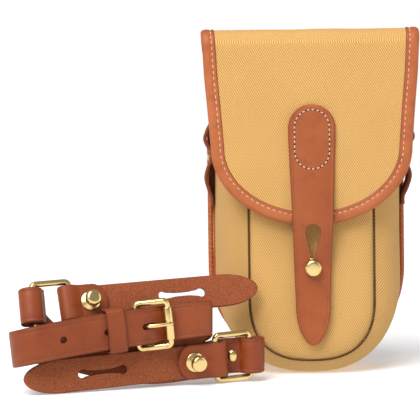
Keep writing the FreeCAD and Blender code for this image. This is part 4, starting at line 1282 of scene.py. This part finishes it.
# ---- Room, light and camera ---------------------------------------------------------------------
def room():
    """Pale floor and a soft surround that is white at the horizon and greyer above."""
    material = floor_material()
    reach, cells = 9000.0, 40
    steps = np.linspace(-reach, reach, cells + 1)
    points = [(x, y, -0.25) for x in steps for y in steps]
    floor = make_mesh("floor", points, sheet_faces(cells + 1, cells + 1), material, smooth=False)
    floor.visible_diffuse = False
    world = bpy.data.worlds.new("studio")
    world.use_nodes = True
    background = world.node_tree.nodes["Background"]
    background.inputs["Strength"].default_value = 1.0
    nodes, links = world.node_tree.nodes, world.node_tree.links
    height = nodes.new("ShaderNodeSeparateXYZ")
    links.new(nodes.new("ShaderNodeTexCoord").outputs["Generated"], height.inputs[0])
    ramp = nodes.new("ShaderNodeValToRGB")
    horizon, ceiling = ramp.color_ramp.elements
    horizon.position, horizon.color = 0.11, (1.0, 1.0, 1.0, 1.0)
    ceiling.position, ceiling.color = 0.19, (0.33, 0.33, 0.34, 1.0)
    links.new(height.outputs["Z"], ramp.inputs["Fac"])
    links.new(ramp.outputs["Color"], background.inputs["Color"])
    scene.world = world
    scene.view_settings.view_transform = "Standard"


def area_light(name, place, target, size, power, color=(1.0, 1.0, 1.0)):
    light = bpy.data.lights.new(name, "AREA")
    light.shape, light.size, light.size_y = "RECTANGLE", size[0], size[1]
    light.energy, light.color = power, color
    obj = bpy.data.objects.new(name, light)
    obj.location = place
    obj.rotation_euler = (Vector(target) - Vector(place)).to_track_quat("-Z", "Y").to_euler()
    scene.collection.objects.link(obj)


def lights():
    """Large soft key from the left, a weaker one from the right, and a wide ceiling light."""
    area_light("key_softbox", (-0.55, -0.95, 0.85), (-0.06, 0, 0.1), (0.6, 0.6), 5.6)
    area_light("side_softbox", (0.95, -0.45, 0.45), (0, 0, 0.1), (0.4, 0.8), 1.5)
    sun = bpy.data.lights.new("ceiling_panel", "SUN")
    sun.energy, sun.angle = 2.35, 0.7
    obj = bpy.data.objects.new("ceiling_panel", sun)
    obj.rotation_euler = Vector((-0.30, -0.62, 1.0)).to_track_quat("Z", "Y").to_euler()
    scene.collection.objects.link(obj)


def camera():
    """Long lens, a little above the floor and square to the pouch, tilted slightly."""
    distance, elevation, roll = 1.0, math.radians(2.0), math.radians(-0.8)
    target = Vector((-0.0645, 0.0, 0.1050))
    data = bpy.data.cameras.new("camera")
    data.lens, data.sensor_width = 130.3, 36.0
    data.clip_end = 20.0
    obj = bpy.data.objects.new("camera", data)
    obj.location = target + Vector((0.0, -math.cos(elevation), math.sin(elevation))) * distance
    aim = (target - obj.location).to_track_quat("-Z", "Y").to_matrix().to_4x4()
    obj.rotation_euler = (aim @ Matrix.Rotation(roll, 4, "Z")).to_euler()
    scene.collection.objects.link(obj)
    scene.camera = obj


def main():
    camera()
    lights()
    room()
    gusset()
    front_panel()
    # Dark strip of painted shade along the valley of the front seam.
    seam_shade_strip()
    back_panel()
    pocket_lining()
    back_binding()
    mouth_binding()
    for side, word in ((-1, "left"), (1, "right")):
        side_loop(side, word)
    flap()
    flap_binding()
    closure_strap()
    ball_stud("closure_ball_stud", (0.0, SEAM_Y - 5.5, STUD_Z), (0, -1, 0), -0.3, "pouch", "closure_stud",
              5.5, 2.3, 5.9)
    tongue_group("lower", LOWER, LOWER_RING[0], -1, 8.5, 104.5, 115.0, (44.5, 69.5))
    right_bar = UPPER @ Matrix.Translation((RING_L - 2 * BAR_R, 0, 0))
    tongue_group("upper", right_bar, UPPER_RING[0] + RING_L - 2 * BAR_R, 1, 161.5, 62.5, 51.5, (98.5, 123.5))
    buckle_strap()
    holed_strap()
    buckle()
    keeper()
    roll_rivet()


main()
